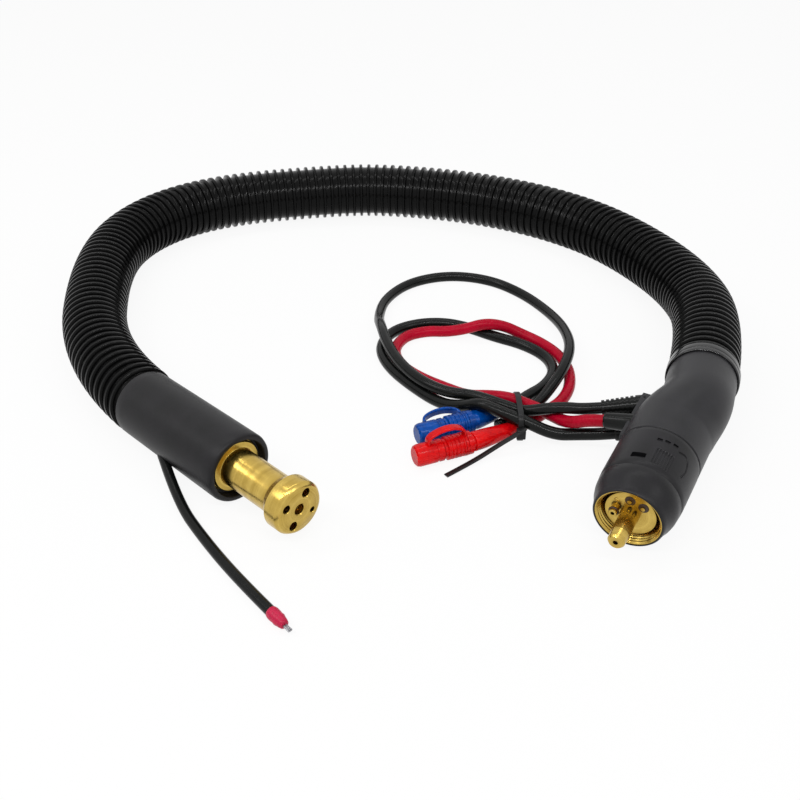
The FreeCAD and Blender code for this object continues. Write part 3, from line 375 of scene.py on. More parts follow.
# moulded plastics, rubbers and cord jackets: dark and light tone, gloss and its spread,
# grain size and depth in millimetres, and the specular level
plastics = {
    "hoseBlack": {"dark": plain(0.002, 0.002, 0.0022), "light": plain(0.005, 0.005, 0.005), "gloss": 0.2,
                  "spread": 0.12, "grain": 0.9, "depth": 0.012, "specular": 0.09},
    "housingGrey": {"dark": plain(0.014, 0.014, 0.0155), "light": plain(0.022, 0.0215, 0.0245), "gloss": 0.4,
                    "spread": 0.12, "grain": 0.45, "depth": 0.03, "specular": 0.24},
    "nutBlack": {"dark": plain(0.008, 0.008, 0.0085), "light": plain(0.015, 0.014, 0.017), "gloss": 0.38,
                 "spread": 0.12, "grain": 0.45, "depth": 0.03, "specular": 0.2},
    "glossBlack": {"dark": plain(0.003, 0.003, 0.004), "light": plain(0.006, 0.006, 0.007), "gloss": 0.1,
                   "spread": 0.06, "grain": 2.0, "depth": 0.01, "specular": 0.5},
    "bootRubber": {"dark": plain(0.007, 0.007, 0.0075), "light": plain(0.014, 0.013, 0.015), "gloss": 0.42,
                   "spread": 0.16, "grain": 0.7, "depth": 0.04, "specular": 0.2},
    "leadBlack": {"dark": plain(0.0025, 0.003, 0.003), "light": plain(0.007, 0.0075, 0.007), "gloss": 0.22,
                  "spread": 0.12, "grain": 1.4, "depth": 0.015, "specular": 0.16},
    "leadRed": {"dark": plain(0.36, 0.001, 0.014), "light": plain(0.52, 0.003, 0.028), "gloss": 0.28,
                "spread": 0.12, "grain": 1.4, "depth": 0.02, "specular": 0.1},
    "tieBlack": {"dark": plain(0.004, 0.004, 0.004), "light": plain(0.010, 0.010, 0.011), "gloss": 0.36,
                 "spread": 0.12, "grain": 0.6, "depth": 0.02, "specular": 0.22},
    "tubeBlue": {"dark": plain(0.02, 0.08, 0.35), "light": plain(0.03, 0.11, 0.45), "gloss": 0.3,
                 "spread": 0.1, "grain": 1.4, "depth": 0.01, "specular": 0.5},
    "bushBrown": {"dark": plain(0.020, 0.006, 0.003), "light": plain(0.060, 0.018, 0.008), "gloss": 0.35,
                  "spread": 0.15, "grain": 0.4, "depth": 0.02, "specular": 0.5},
    "linerWhite": {"dark": plain(0.60, 0.58, 0.52), "light": plain(0.75, 0.73, 0.68), "gloss": 0.4,
                   "spread": 0.1, "grain": 0.8, "depth": 0.01, "specular": 0.5},
    "sleevePink": {"dark": plain(0.38, 0.002, 0.035), "light": plain(0.66, 0.012, 0.075), "gloss": 0.34,
                   "spread": 0.2, "grain": 1.1, "depth": 0.12, "specular": 0.28},
}


def plasticFinish(name, recipe):
    finish = Finish(bpy.data.materials.new(name))
    place = finish.places()
    cloud = finish.noise(place, 60.0, 4.0, 0.6)
    grain = finish.noise(place, 1 / (recipe["grain"] * mm), 3.0, 0.55)
    shade = finish.ramp(cloud * 0.65 + grain * 0.35, 0.35, 0.65)
    return finish.cover(
        Base_Color=finish.tones(shade, recipe["light"], recipe["dark"]),
        Roughness=recipe["gloss"] + recipe["spread"] * (cloud - 0.5) + 0.1 * (grain - 0.5),
        Normal=finish.bump(grain, recipe["depth"]), Specular_IOR_Level=recipe["specular"])


# moulded in translucent plastic: couplings and their caps
tints = {
    "couplingRed": {"deep": plain(0.50, 0.0, 0.004), "bright": plain(0.84, 0.006, 0.006)},
    "couplingBlue": {"deep": plain(0.0, 0.030, 0.18), "bright": plain(0.0, 0.085, 0.44)},
}


def tintFinish(name, recipe):
    finish = Finish(bpy.data.materials.new(name))
    place = finish.places()
    cloud = finish.noise(place, 140.0, 3.0, 0.6)
    flow = finish.noise(place, 700.0, 2.0, 0.5)
    # the tone deepens towards edges seen at a grazing angle: painted shade, mixed with the plastic's own
    # cloudy tone and flow lines
    edge = finish.add("ShaderNodeLayerWeight", {}, {"Blend": 0.35}, 1)
    tintAndEdgeShade = finish.ramp(cloud * 0.6 + flow * 0.4 - 0.25 * edge, 0.25, 0.6)
    return finish.cover(Base_Color=finish.tones(tintAndEdgeShade, recipe["bright"], recipe["deep"]),
                        Roughness=0.16 + 0.16 * flow, Normal=finish.bump(flow, 0.05),
                        Subsurface_Weight=0.12, Subsurface_Radius=(0.004, 0.002, 0.002),
                        Subsurface_Scale=0.5,
                        Specular_IOR_Level=0.14, Coat_Weight=0.06, Coat_Roughness=0.06)


# metals: pale and deep tone, gloss, ring marks of the lathe, and how far they vary
metals = {
    "brass": {"pale": plain(0.62, 0.44, 0.11), "deep": plain(0.32, 0.20, 0.03), "gloss": 0.17, "spread": 0.14,
              "rings": 1400.0, "depth": 0.012},
    "steel": {"pale": plain(0.62, 0.62, 0.60), "deep": plain(0.38, 0.38, 0.38), "gloss": 0.28, "spread": 0.15,
              "rings": 1200.0, "depth": 0.01},
    "copper": {"pale": plain(0.80, 0.36, 0.20), "deep": plain(0.50, 0.18, 0.08), "gloss": 0.35, "spread": 0.15,
               "rings": 900.0, "depth": 0.02},
    "wireGrey": {"pale": plain(0.42, 0.42, 0.44), "deep": plain(0.20, 0.20, 0.22), "gloss": 0.35,
                 "spread": 0.2, "rings": 1800.0, "depth": 0.02},
}


def metalFinish(name, recipe, axes):
    finish = Finish(bpy.data.materials.new(name))
    place = finish.places(axes)
    along = finish.add("ShaderNodeSeparateXYZ", {}, {0: place})
    radius = (along.other(1) ** 2.0 + along.other(2) ** 2.0) ** 0.5
    turned = finish.add("ShaderNodeCombineXYZ", {}, {0: along, 1: radius})
    rings = finish.noise(turned, recipe["rings"], 2.0, 0.6)
    bands = finish.noise(turned, recipe["rings"] / 6, 2.0, 0.5)
    stain = finish.noise(place, 220.0, 4.0, 0.6)
    shade = finish.ramp(0.25 * stain + 0.45 * bands + 0.3 * rings, 0.26, 0.62)
    return finish.cover(Base_Color=finish.tones(shade, recipe["pale"], recipe["deep"]), Metallic=1.0,
                        Roughness=recipe["gloss"] + recipe["spread"] * (0.6 * rings + 0.4 * stain),
                        Normal=finish.bump(rings * 0.6 + bands * 0.4, recipe["depth"]))


finishes = {name: plasticFinish(name, recipe) for name, recipe in plastics.items()}
finishes.update({name: tintFinish(name, recipe) for name, recipe in tints.items()})
for name, recipe in metals.items():
    finishes[name] = metalFinish(name, recipe, plugAxes)
finishes["blockBrass"] = metalFinish("blockBrass", metals["brass"], bootAxes)
print("finishes mixed:", len(finishes))


def paint(piece, finish):
    piece.data.materials.clear()
    piece.data.materials.append(finishes[finish])


def settle(piece, finish, body, *standsFor):
    paint(piece, finish)
    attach(piece, body)
    if standsFor:
        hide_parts(*standsFor)
    return piece


def settleAcross(piece, finish, body, start, end, node):
    # a springy piece: it takes its finish, hides the node it stands for and has its place baked into its mesh
    paint(piece, finish)
    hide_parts(node)
    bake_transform(piece)


# corrugated hose, with its rib given as share of the pitch and radius
hose = {
    "rib": [(0.0, 18.85), (0.10, 19.1), (0.14, 20.85), (0.20, 21.25), (0.43, 21.25), (0.49, 20.85),
            (0.53, 19.1), (0.63, 18.85), (1.0, 18.85)],
    "valley": 18.85, "bore": 18.05, "pitch": 6.4, "cuff": 20.0, "cuffSteps": 4, "sides": 44,
    "weld": 0.02, "endReach": 0.05,
}


def makeHose():
    path = readPath(hoseLine)
    length = sum((after - before).length for before, after in zip(path, path[1:])) / mm
    cuff, bore, sides, weld = hose["cuff"], hose["bore"], hose["sides"], hose["weld"] * mm
    ribs = int((length - 2 * cuff) / hose["pitch"])
    pitch = (length - 2 * cuff) / ribs
    outline = [(share * pitch, radius) for share, radius in hose["rib"]]
    outside = turnPiece("ribs", outline, straight, sides, "open")
    inside = turnPiece("lining", [(0.0, bore), (pitch, bore)], straight, sides, "open")
    ribbed = joinPieces([outside, inside], "ribs")
    row = ribbed.modifiers.new("row", "ARRAY")
    row.count = ribs
    row.use_relative_offset = False
    row.use_constant_offset = True
    row.constant_offset_displace = (pitch * mm, 0, 0)
    row.use_merge_vertices = True
    row.merge_threshold = weld
    applyAll(ribbed)
    ribbed.data.transform(Matrix.Translation((cuff * mm, 0, 0)))
    steps = [cuff * step / hose["cuffSteps"] for step in range(hose["cuffSteps"] + 1)]
    tubes = [ribbed]
    for shift in (0.0, length - cuff):
        for radius in (hose["valley"], bore):
            outline = [(shift + step, radius) for step in steps]
            tubes.append(turnPiece("cuff", outline, straight, sides, "open"))
    whole = joinPieces(tubes, "corrugatedHose")
    bpy.ops.object.mode_set(mode="EDIT")
    bpy.ops.mesh.select_all(action="SELECT")
    bpy.ops.mesh.remove_doubles(threshold=weld)
    for end in (0.0, length * mm):
        bpy.ops.mesh.select_all(action="DESELECT")
        bpy.ops.object.mode_set(mode="OBJECT")
        for vertex in whole.data.vertices:
            if abs(vertex.co.x - end) < hose["endReach"] * mm:
                vertex.select = True
        bpy.ops.object.mode_set(mode="EDIT")
        bpy.ops.mesh.bridge_edge_loops()
    bpy.ops.mesh.select_all(action="SELECT")
    bpy.ops.mesh.normals_make_consistent(inside=False)
    bpy.ops.object.mode_set(mode="OBJECT")
    bend = whole.modifiers.new("bend", "CURVE")
    bend.object = hoseLine
    bend.deform_axis = "POS_X"
    applyAll(whole)
    bpy.data.objects.remove(hoseLine)
    smoothOver(whole, 40)
    settle(whole, "hoseBlack", "assembly", "corrugated_hose")
    print("hose made, ribs:", ribs, "length: %.1f mm" % length)
    return whole, path, length


corrugatedHose, hosePath, hoseLength = makeHose()


# rubber boot on the hose's end and the brass block in it
boot = {
    "outline": [
        (-92.5, 18.9), (-92.5, 20.1), (-91.3, 20.6), (-86.0, 20.7), (-60.0, 20.9), (-30.0, 21.1), (-8.0, 21.2),
        (-2.4, 21.2), (-0.7, 20.7), (0.0, 19.7), (0.0, 17.7), (-6.0, 17.6), (-6.0, 16.0), (-24.0, 16.0),
        (-24.0, 17.5), (-72.5, 17.5), (-72.5, 18.9),
    ],
    "slit": [(-18.0, 3.25), (30.0, 3.25)],
}
# the block's bores are start, end, radius and chamfer; its ports, which are water, water, gas and
# dowel, are angle and radius
block = {
    "outline": [
        (-30.0, 6.2), (-22.0, 6.2), (-22.0, 16.0), (-6.0, 16.0), (-6.0, 15.2), (-3.0, 15.2), (-3.0, 11.5),
        (33.7, 11.5), (39.2, 15.8), (47.5, 15.8), (49.4, 14.5), (50.0, 13.4),
    ],
    "bores": [(42.0, 50.0, 3.2, 0.5), (-40.0, 43.0, 2.6, 0.1)],
    "ports": [(60.0, 2.65), (240.0, 2.65), (150.0, 2.4), (330.0, 1.6)],
    "portStart": 40.0, "portEnd": 50.0, "portChamfer": 0.3, "circle": 10.0,
}


def makeBoot():
    piece = turnPiece("endBoot", boot["outline"], bootAxes, 80)
    roundEdges(piece, 0.5, 3)
    cutAway(piece, [turnPiece("slit", boot["slit"], routeAxes("trigger", 0, 1, 0), 32, "solid")])
    smoothOver(piece)
    return settle(piece, "bootRubber", "assembly", "end_boot")


def makeBlock():
    piece = turnPiece("torchBlock", block["outline"], bootAxes, 96, "solid")
    roundEdges(piece, 0.35, 3)
    bits = [drillBit(bootAxes, start, end, radius, chamfer=chamfer)
            for start, end, radius, chamfer in block["bores"]]
    for angle, radius in block["ports"]:
        side = block["circle"] * math.cos(math.radians(angle))
        up = block["circle"] * math.sin(math.radians(angle))
        bits.append(drillBit(bootAxes, block["portStart"], block["portEnd"], radius, side, up,
                             block["portChamfer"]))
    cutAway(piece, bits)
    smoothOver(piece)
    return settle(piece, "blockBrass", "assembly", "torch_block")


endBoot = makeBoot()
torchBlock = makeBlock()
print("boot and block made")


# union nut: grip with its marks, repeated three times round, and its threaded insert
nut = {
    "outline": [
        (0.0, 18.35), (0.0, 19.0), (-0.8, 19.6), (-3.0, 20.1), (-6.0, 20.9), (-9.0, 22.1), (-12.5, 22.9),
        (-17.4, 23.3), (-17.9, 23.05), (-18.4, 23.4), (-22.0, 23.6), (-46.5, 23.6), (-49.0, 23.4),
        (-50.0, 23.0), (-50.0, 20.6), (-30.0, 20.6), (-30.0, 18.35),
    ],
    "repeats": 3,
    "slot": {"place": (25.0, -12.0, 23.4), "size": (4.0, 8.0, 6.0), "bevel": 0.5},
    "dots": {"places": [(40.6, 4.4), (41.2, 14.6), (41.8, 26.0)], "up": 23.6, "size": (2.0, 3.0, 2.6),
             "bevel": 0.3},
    "flutes": {"angles": (9.0, 13.0, 17.0, 21.0, 25.0, 29.0), "from": 21.5, "to": 34.5, "up": 23.95,
               "radius": 1.05, "tip": 0.4, "taper": 0.8},
    "hook": {"places": [(39.0, 33.0), (40.6, 40.0), (40.2, 48.0), (36.5, 54.0), (31.0, 55.0), (26.0, 51.0)],
             "up": 23.7, "radius": 0.75},
}
insert = {
    "front": 0.4, "rear": 30.0, "radius": 18.3, "mouth": 17.8, "bore": 17.0, "shoulder": 24.0, "neck": 12.05,
    "crest": 16.45, "pitch": 2.0, "turns": 8, "firstTurn": 2.0, "flanks": (0.7, 1.0, 1.7),
}


def makeNut():
    piece = turnPiece("unionNut", nut["outline"], plugAxes, 120)
    roundEdges(piece, 0.25, 2, 40)
    cutters = []
    for repeat in range(nut["repeats"]):
        turned = plugAxes @ Matrix.Rotation(math.radians(-360 / nut["repeats"] * repeat), 4, "X")

        def onNut(station, angle, radius):
            lean = Matrix.Rotation(math.radians(-angle), 4, "X")
            return turned @ lean @ Matrix.Translation((-station * mm, 0, radius * mm))

        slot, dots, flutes, hook = nut["slot"], nut["dots"], nut["flutes"], nut["hook"]
        cutters.append(blockPiece("slot", slot["size"], onNut(*slot["place"]), slot["bevel"]))
        for station, angle in dots["places"]:
            cutters.append(blockPiece("dot", dots["size"], onNut(station, angle, dots["up"]), dots["bevel"]))
        ends = flutes["from"] - flutes["to"]
        outline = [(ends, flutes["tip"]), (ends + flutes["taper"], flutes["radius"]),
                   (-flutes["taper"], flutes["radius"]), (0.0, flutes["tip"])]
        for angle in flutes["angles"]:
            fluteAxes = onNut(flutes["from"], angle, flutes["up"])
            cutters.append(turnPiece("flute", outline, fluteAxes, 12, "solid"))
        line = [Vector(roundPlace(*place, hook["up"])) for place in hook["places"]]
        groove = layRoute("hook", line, hook["radius"], 6)
        groove.data.bevel_resolution = 2
        pick(groove)
        bpy.ops.object.convert(target="MESH")
        groove.data.transform(turned)
        facesOut(groove)
        cutters.append(groove)
    cutAway(piece, cutters)
    smoothOver(piece, 35)
    settle(piece, "nutBlack", "nut", "union_nut")


def makeInsert():
    front, rear, bore, crest = (insert[key] for key in ("front", "rear", "bore", "crest"))
    rising, top, falling = insert["flanks"]
    outline = [(-rear, insert["radius"]), (-front, insert["radius"]), (-front, insert["mouth"]),
               (-front - 1.0, bore)]
    for turn in range(insert["turns"]):
        start = -insert["firstTurn"] - turn * insert["pitch"]
        outline += [(start, bore), (start - rising, crest), (start - top, crest), (start - falling, bore)]
    outline += [(-insert["shoulder"], bore), (-insert["shoulder"], insert["neck"]), (-rear, insert["neck"])]
    piece = turnPiece("nutInsert", outline, plugAxes, 96)
    smoothOver(piece, 25)
    settle(piece, "brass", "nut", "nut_insert")


makeNut()
makeInsert()
print("nut made")

# clamp ring between housing and hose
clampRing = {
    "outline": [(0.5, 18.9), (0.5, 21.2), (1.3, 22.0), (5.4, 22.0), (5.9, 21.6), (6.4, 22.0), (8.9, 21.9),
                (9.5, 21.5), (9.5, 20.75), (5.9, 20.75), (5.9, 20.0), (14.0, 20.0), (14.0, 18.9)],
}


def makeClampRing():
    piece = turnPiece("hoseClampRing", clampRing["outline"], rearAxes, 96)
    roundEdges(piece, 0.3, 3)
    smoothOver(piece)
    settle(piece, "glossBlack", "assembly", "hose_clamp_ring")


makeClampRing()

# plug housing: one smooth hollow elbow with a boss for the leads, parted into two shells
housing = {
    "frontPlaces": (-50.08, -64.0, -78.0), "rearPlaces": (38.5, 23.0, 6.0), "steps": 36,
    "frontRadius": 23.5, "rearRadius": 20.6, "frontBore": 21.0, "rearBore": 20.05, "chamfer": 0.5,
    "narrows": (26.0, 58.0), "parting": -2.0,
    "boss": {"rear": -98.5, "front": -58.0, "radius": 25.6, "root": 11.0, "low": -21.0, "high": 3.4,
             "side": -8.0, "rounding": 0.8},
}


def trimPast(piece, place, direction):
    # takes away what lies past a plane, given on the plug's axes, and closes the cut
    pick(piece)
    bpy.ops.object.mode_set(mode="EDIT")
    bpy.ops.mesh.select_all(action="SELECT")
    bpy.ops.mesh.bisect(plane_co=plugAxes @ (Vector(place) * mm),
                        plane_no=plugAxes.to_3x3() @ Vector(direction), use_fill=True, clear_outer=True)
    bpy.ops.object.mode_set(mode="OBJECT")


def makeHousing():
    route = [(plugAxes @ Vector((place * mm, 0, 0))) / mm for place in housing["frontPlaces"]]
    route += [(rearAxes @ Vector((place * mm, 0, 0))) / mm for place in housing["rearPlaces"]]
    line = layRoute("housingLine", route, fineness=24)
    path = readPath(line)
    length = sum((after - before).length for before, after in zip(path, path[1:])) / mm
    start, end = housing["narrows"]
    radius, rearRadius, bore, rearBore = (housing[key] for key in ("frontRadius", "rearRadius",
                                                                   "frontBore", "rearBore"))
    chamfer = housing["chamfer"]
    outside, inside = [(0.0, radius - chamfer)], []
    for step in range(housing["steps"] + 1):
        place = chamfer + (length - chamfer) * step / housing["steps"]
        share = min(max((place - start) / (end - start), 0.0), 1.0)
        share = share * share * (3 - 2 * share)
        outside.append((place, radius + (rearRadius - radius) * share))
        inside.append((place, bore + (rearBore - bore) * share))
    shell = turnPiece("housing", outside + inside[::-1] + [(0.0, bore)], straight, 96)
    bend = shell.modifiers.new("bend", "CURVE")
    bend.object = line
    bend.deform_axis = "POS_X"
    applyAll(shell)
    bpy.data.objects.remove(line)
    facesOut(shell)
    boss = housing["boss"]
    pad = turnPiece("boss", [(boss["rear"], boss["root"]), (boss["rear"], boss["radius"]),
                             (boss["front"], boss["radius"]), (boss["front"], boss["root"])], plugAxes, 96)
    trimPast(pad, (0, 0, boss["high"]), (0, 0, 1))
    trimPast(pad, (0, 0, boss["low"]), (0, 0, -1))
    trimPast(pad, (0, boss["side"], 0), (0, 1, 0))
    facesOut(pad)
    roundEdges(pad, boss["rounding"], 3, 50)
    union = shell.modifiers.new("union", "BOOLEAN")
    union.operation = "UNION"
    union.solver = "EXACT"
    union.object = pad
    applyAll(shell)
    bpy.data.objects.remove(pad)
    for name, side, node in (("housingUpper", -1, "housing_upper"), ("housingLower", 1, "housing_lower")):
        pick(shell)
        bpy.ops.object.duplicate()
        half = bpy.context.object
        half.name = name
        trimPast(half, (0, 0, housing["parting"]), (0, 0, side))
        smoothOver(half)
        settle(half, "housingGrey", "assembly", node)
    bpy.data.objects.remove(shell)


makeHousing()
print("housing made")

# slotted screw in the plug's face
faceScrew = {
    "side": -8.0, "up": 6.7, "outline": [(-6.0, 1.5), (-4.5, 1.5), (-4.2, 1.3)],
    "slot": (2.0, 4.0, 0.5), "slotPlace": -3.9, "slotBevel": 0.05,
}


def makeFaceScrew():
    axes = plugAxes @ Matrix.Translation((0, faceScrew["side"] * mm, faceScrew["up"] * mm))
    piece = turnPiece("faceScrew", faceScrew["outline"], axes, 32, "solid")
    slotAxes = axes @ Matrix.Translation((faceScrew["slotPlace"] * mm, 0, 0))
    cutAway(piece, [blockPiece("slot", faceScrew["slot"], slotAxes, faceScrew["slotBevel"])])
    smoothOver(piece)
    settle(piece, "brass", "assembly")


makeFaceScrew()

# flanges of the two contact bushes
bushFlange = {"outline": [(-4.6, 1.6), (-4.6, 2.9), (-4.3, 2.9), (-4.0, 2.6), (-4.0, 1.6)]}


def middleOf(node):
    # the middle of a node's box, in millimetres on the plug's axes
    low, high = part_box(node)
    return plugAxes.inverted() @ ((Vector(low) + Vector(high)) / 2) / mm


def makeBushFlanges():
    rings = []
    for name in ("control_pin_top", "control_pin_side"):
        middle = middleOf(name)
        axes = plugAxes @ Matrix.Translation((0, middle.y * mm, middle.z * mm))
        rings.append(turnPiece("flange", bushFlange["outline"], axes, 40))
    piece = joinPieces(rings, "contactBushes")
    smoothOver(piece)
    settle(piece, "bushBrown", "assembly")


makeBushFlanges()

# coil springs behind the two contact pins
spring = {"front": -14.4, "rear": -19.0, "radius": 1.5, "wire": 0.17, "turns": 4, "steps": 12}


def makeSprings():
    count = spring["turns"] * spring["steps"]
    start, end = spring["rear"] + spring["wire"], spring["front"] - spring["wire"]
    for side, name in (("top", "controlSpringTop"), ("side", "controlSpringSide")):
        middle = middleOf("control_spring_" + side)
        points = []
        for step in range(count + 1):
            turn = 2 * math.pi * step / spring["steps"]
            place = Vector((start + (end - start) * step / count,
                            middle.y + spring["radius"] * math.cos(turn),
                            middle.z + spring["radius"] * math.sin(turn)))
            points.append(plugAxes @ (place * mm) / mm)
        piece = layRoute(name, points, spring["wire"], 4)
        piece.data.bevel_resolution = 3
        pick(piece)
        bpy.ops.object.convert(target="MESH")
        smoothOver(piece, 60)
        ends = [plugAxes @ (Vector((station, middle.y, middle.z)) * mm) for station in (start, end)]
        settleAcross(piece, "steel", side + "_pin", *ends, "control_spring_" + side)


makeSprings()

# loose leads by the plug, their sleeves, couplings and caps
settle(controlLead, "leadBlack", "assembly", "control_lead")
settle(redLead, "leadRed", "assembly", "red_lead")
settle(blackLead, "leadBlack", "assembly", "blue_lead")
settle(triggerLead, "leadBlack", "assembly", "trigger_lead")

coupling = {
    "ferrule": [(0.0, 3.85), (0.0, 4.2), (0.6, 4.5), (8.0, 5.0), (14.0, 5.6), (19.0, 6.0), (24.5, 6.0),
                (25.0, 5.6), (25.0, 2.2), (10.0, 2.2), (10.0, 3.85)],
    "ferruleLength": 25.0,
    "body": [(-3.0, 2.2), (-3.0, 5.5), (0.5, 5.5), (1.0, 7.2), (3.9, 7.2), (4.1, 6.2), (5.9, 6.2),
             (6.1, 7.2)],
    "grip": [(7.0, 7.2), (7.3, 6.7), (7.9, 6.7), (8.2, 7.2)], "grips": 4, "gripStep": 2.5,
    "bodyEnd": [(17.0, 7.2), (17.5, 6.0), (19.0, 6.0), (19.0, 5.0), (22.0, 5.0), (22.3, 4.7), (23.3, 4.7),
                (23.6, 5.0), (26.4, 4.9), (27.0, 4.5), (27.0, 2.2)],
    "cap": [(19.3, 6.3), (19.8, 6.8), (22.0, 6.8), (22.4, 6.4), (23.6, 6.4), (24.0, 6.8), (34.6, 6.8),
            (36.2, 6.3), (37.0, 5.2)],
    "capBore": {"start": 18.0, "end": 28.3, "radius": 5.05},
    "strap": [(5.0, 6.6), (4.4, 10.5), (10.5, 14.2), (18.5, 14.6), (25.5, 12.6), (29.0, 9.4), (28.4, 7.0)],
    "strapGives": (8.0, 26.5), "strapWidth": 5.2, "strapThickness": 1.7,
    "collar": [(4.15, 6.25), (4.15, 7.1), (4.4, 7.35), (5.6, 7.35), (5.85, 7.1), (5.85, 6.25)],
}


def makeStrap(name, axes, roll):
    data = bpy.data.curves.new(name, "CURVE")
    data.dimensions = "2D"
    line = data.splines.new("NURBS")
    line.points.add(len(coupling["strap"]) - 1)
    for knot, (along, up) in zip(line.points, coupling["strap"]):
        knot.co = (along * mm, up * mm, 0.0, 1.0)
    line.order_u = 3
    line.use_endpoint_u = True
    data.resolution_u = line.resolution_u = 8
    data.extrude = (coupling["strapWidth"] - coupling["strapThickness"]) / 2 * mm
    data.bevel_depth = coupling["strapThickness"] / 2 * mm
    data.bevel_resolution = 3
    data.use_fill_caps = True
    band = bpy.data.objects.new(name, data)
    bpy.context.collection.objects.link(band)
    pick(band)
    bpy.ops.object.convert(target="MESH")
    facesOut(band)
    band.data.transform(axes @ Matrix.Rotation(math.radians(roll), 4, "X")
                        @ Matrix.Rotation(math.radians(90), 4, "X"))
    strap = joinPieces([band, turnPiece("collar", coupling["collar"], axes, 48)], name)
    smoothOver(strap, 40)
    return strap


def makeCoupling(colour, axes, ferruleAxes, roll, reach):
    finish = "coupling" + colour.capitalize()
    axes = axes @ Matrix.Translation((reach * mm, 0, 0))
    growth = (coupling["ferruleLength"] + reach) / coupling["ferruleLength"]
    sleeve = [(place * growth, radius) for place, radius in coupling["ferrule"]]
    ferrule = turnPiece(colour + "Ferrule", sleeve, ferruleAxes, 56)
    roundEdges(ferrule, 0.15)
    outline = list(coupling["body"])
    for grip in range(coupling["grips"]):
        outline += [(place + grip * coupling["gripStep"], radius) for place, radius in coupling["grip"]]
    body = turnPiece(colour + "Coupling", outline + coupling["bodyEnd"], axes, 56)
    cap = turnPiece(colour + "Cap", coupling["cap"], axes, 56, "solid")
    cutAway(cap, [drillBit(axes, **coupling["capBore"], chamfer=0.0)])
    strap = makeStrap(colour + "CapStrap", axes, roll)
    for piece in (ferrule, body, cap):
        smoothOver(piece, 34)
    settle(ferrule, finish, "assembly", colour + "_ferrule")
    settle(body, finish, "assembly", colour + "_coupling")
    settle(cap, finish, colour + "_dust_cap", colour + "_cap")
    ends = [axes @ Vector((station * mm, 0, 0)) for station in coupling["strapGives"]]
    settleAcross(strap, finish, colour + "_dust_cap", *ends, colour + "_cap_strap")
    return [ferrule, body, cap, strap]


# roll turns the strap about its coupling, and reach moves the coupling along its own axis
redPieces = makeCoupling("red", redAxes, redFerruleAxes, roll=0.0, reach=6.0)
bluePieces = makeCoupling("blue", blueAxes, blueFerruleAxes, roll=80.0, reach=-7.0)

# sleeve on the control lead's end
endSleeve = {"outline": [(0.0, 3.65), (0.3, 3.75), (4.4, 3.75), (5.0, 3.1)], "rounding": 0.2}


def makeControlEnd():
    piece = turnPiece("controlLeadEnd", endSleeve["outline"], routeAxes("control", -2, -1, -1), 40, "solid")
    roundEdges(piece, endSleeve["rounding"])
    smoothOver(piece)
    return settle(piece, "leadBlack", "assembly", "control_lead_end")


controlEnd = makeControlEnd()
print("couplings made")

# crimson tip of the trigger lead, with its two stranded wires
tip = {
    "outline": [(-1.5, 3.05), (-1.5, 3.35), (0.2, 3.65), (2.6, 3.6), (3.6, 3.4), (5.4, 3.6), (7.0, 3.2),
                (8.6, 2.9), (10.0, 2.5), (10.6, 1.9)],
    "rounding": 0.15, "strands": 5, "strandRadius": 0.25, "strandSteps": 4,
    "root": 8.8, "run": 6.4, "spread": 0.72, "converges": 0.3, "twist": 1.6, "lay": 0.36, "fray": 0.12,
}


def makeTip():
    axes = routeAxes("trigger", -2, -1, -1)
    sleeve = turnPiece("triggerLeadTip", tip["outline"], axes, 40, "solid")
    roundEdges(sleeve, tip["rounding"])
    smoothOver(sleeve, 40)
    settle(sleeve, "sleevePink", "assembly", "trigger_lead_tip")
    strands = []
    for sign in (-1, 1):
        for strand in range(tip["strands"]):
            turn = 2 * math.pi * strand / tip["strands"]
            fan = 1.0 + 0.5 * ((strand * 7) % 3)
            points = []
            for step in range(tip["strandSteps"] + 1):
                share = step / tip["strandSteps"]
                swing = turn + tip["twist"] * share
                reach = tip["lay"] + tip["fray"] * share * fan
                side = sign * tip["spread"] * (1 - tip["converges"] * share) + reach * math.cos(swing)
                place = Vector((tip["root"] + tip["run"] * share, side, reach * math.sin(swing)))
                points.append(axes @ (place * mm) / mm)
            strands.append(layRoute("strand", points, tip["strandRadius"], 4))
    for strand in strands:
        strand.data.bevel_resolution = 2
        pick(strand)
        bpy.ops.object.convert(target="MESH")
    wires = joinPieces(strands, "triggerLeadWires")
    facesOut(wires)
    smoothOver(wires, 60)
    settle(wires, "wireGrey", "assembly", "trigger_lead_wires")
    return [sleeve, wires]


tipPieces = makeTip()

# cable tie round the crossing leads: its loop is given as distance along y and height
tie = {
    "place": 79.7, "width": 3.6, "thickness": 0.9,
    "loop": [(-117.4, 0.5), (-118.2, 9.0), (-116.6, 19.0), (-104.0, 19.2), (-89.5, 18.9), (-79.4, 12.0),
             (-76.6, 3.5), (-79.0, 0.5), (-98.0, 0.5)],
    "head": (5.5, 4.2, 6.2), "headPlace": (-119.8, 9.4), "headBevel": 0.6,
    "tail": [(82.0, -119.0, 12.8), (76.5, -123.0, 11.0), (66.0, -126.4, 6.0), (50.0, -137.0, 1.5),
             (33.9, -149.0, 0.7)],
}


def layBand(name, points, tilt, closed):
    band = layRoute(name, points, tie["thickness"] / 2, 10)
    band.data.twist_mode = "Z_UP"
    band.data.extrude = (tie["width"] - tie["thickness"]) / 2 * mm
    band.data.bevel_resolution = 2
    line = band.data.splines[0]
    if closed:
        line.use_endpoint_u = False
        line.use_cyclic_u = True
    for knot in line.points:
        knot.tilt = math.radians(tilt)
    pick(band)
    bpy.ops.object.convert(target="MESH")
    facesOut(band)
    return band


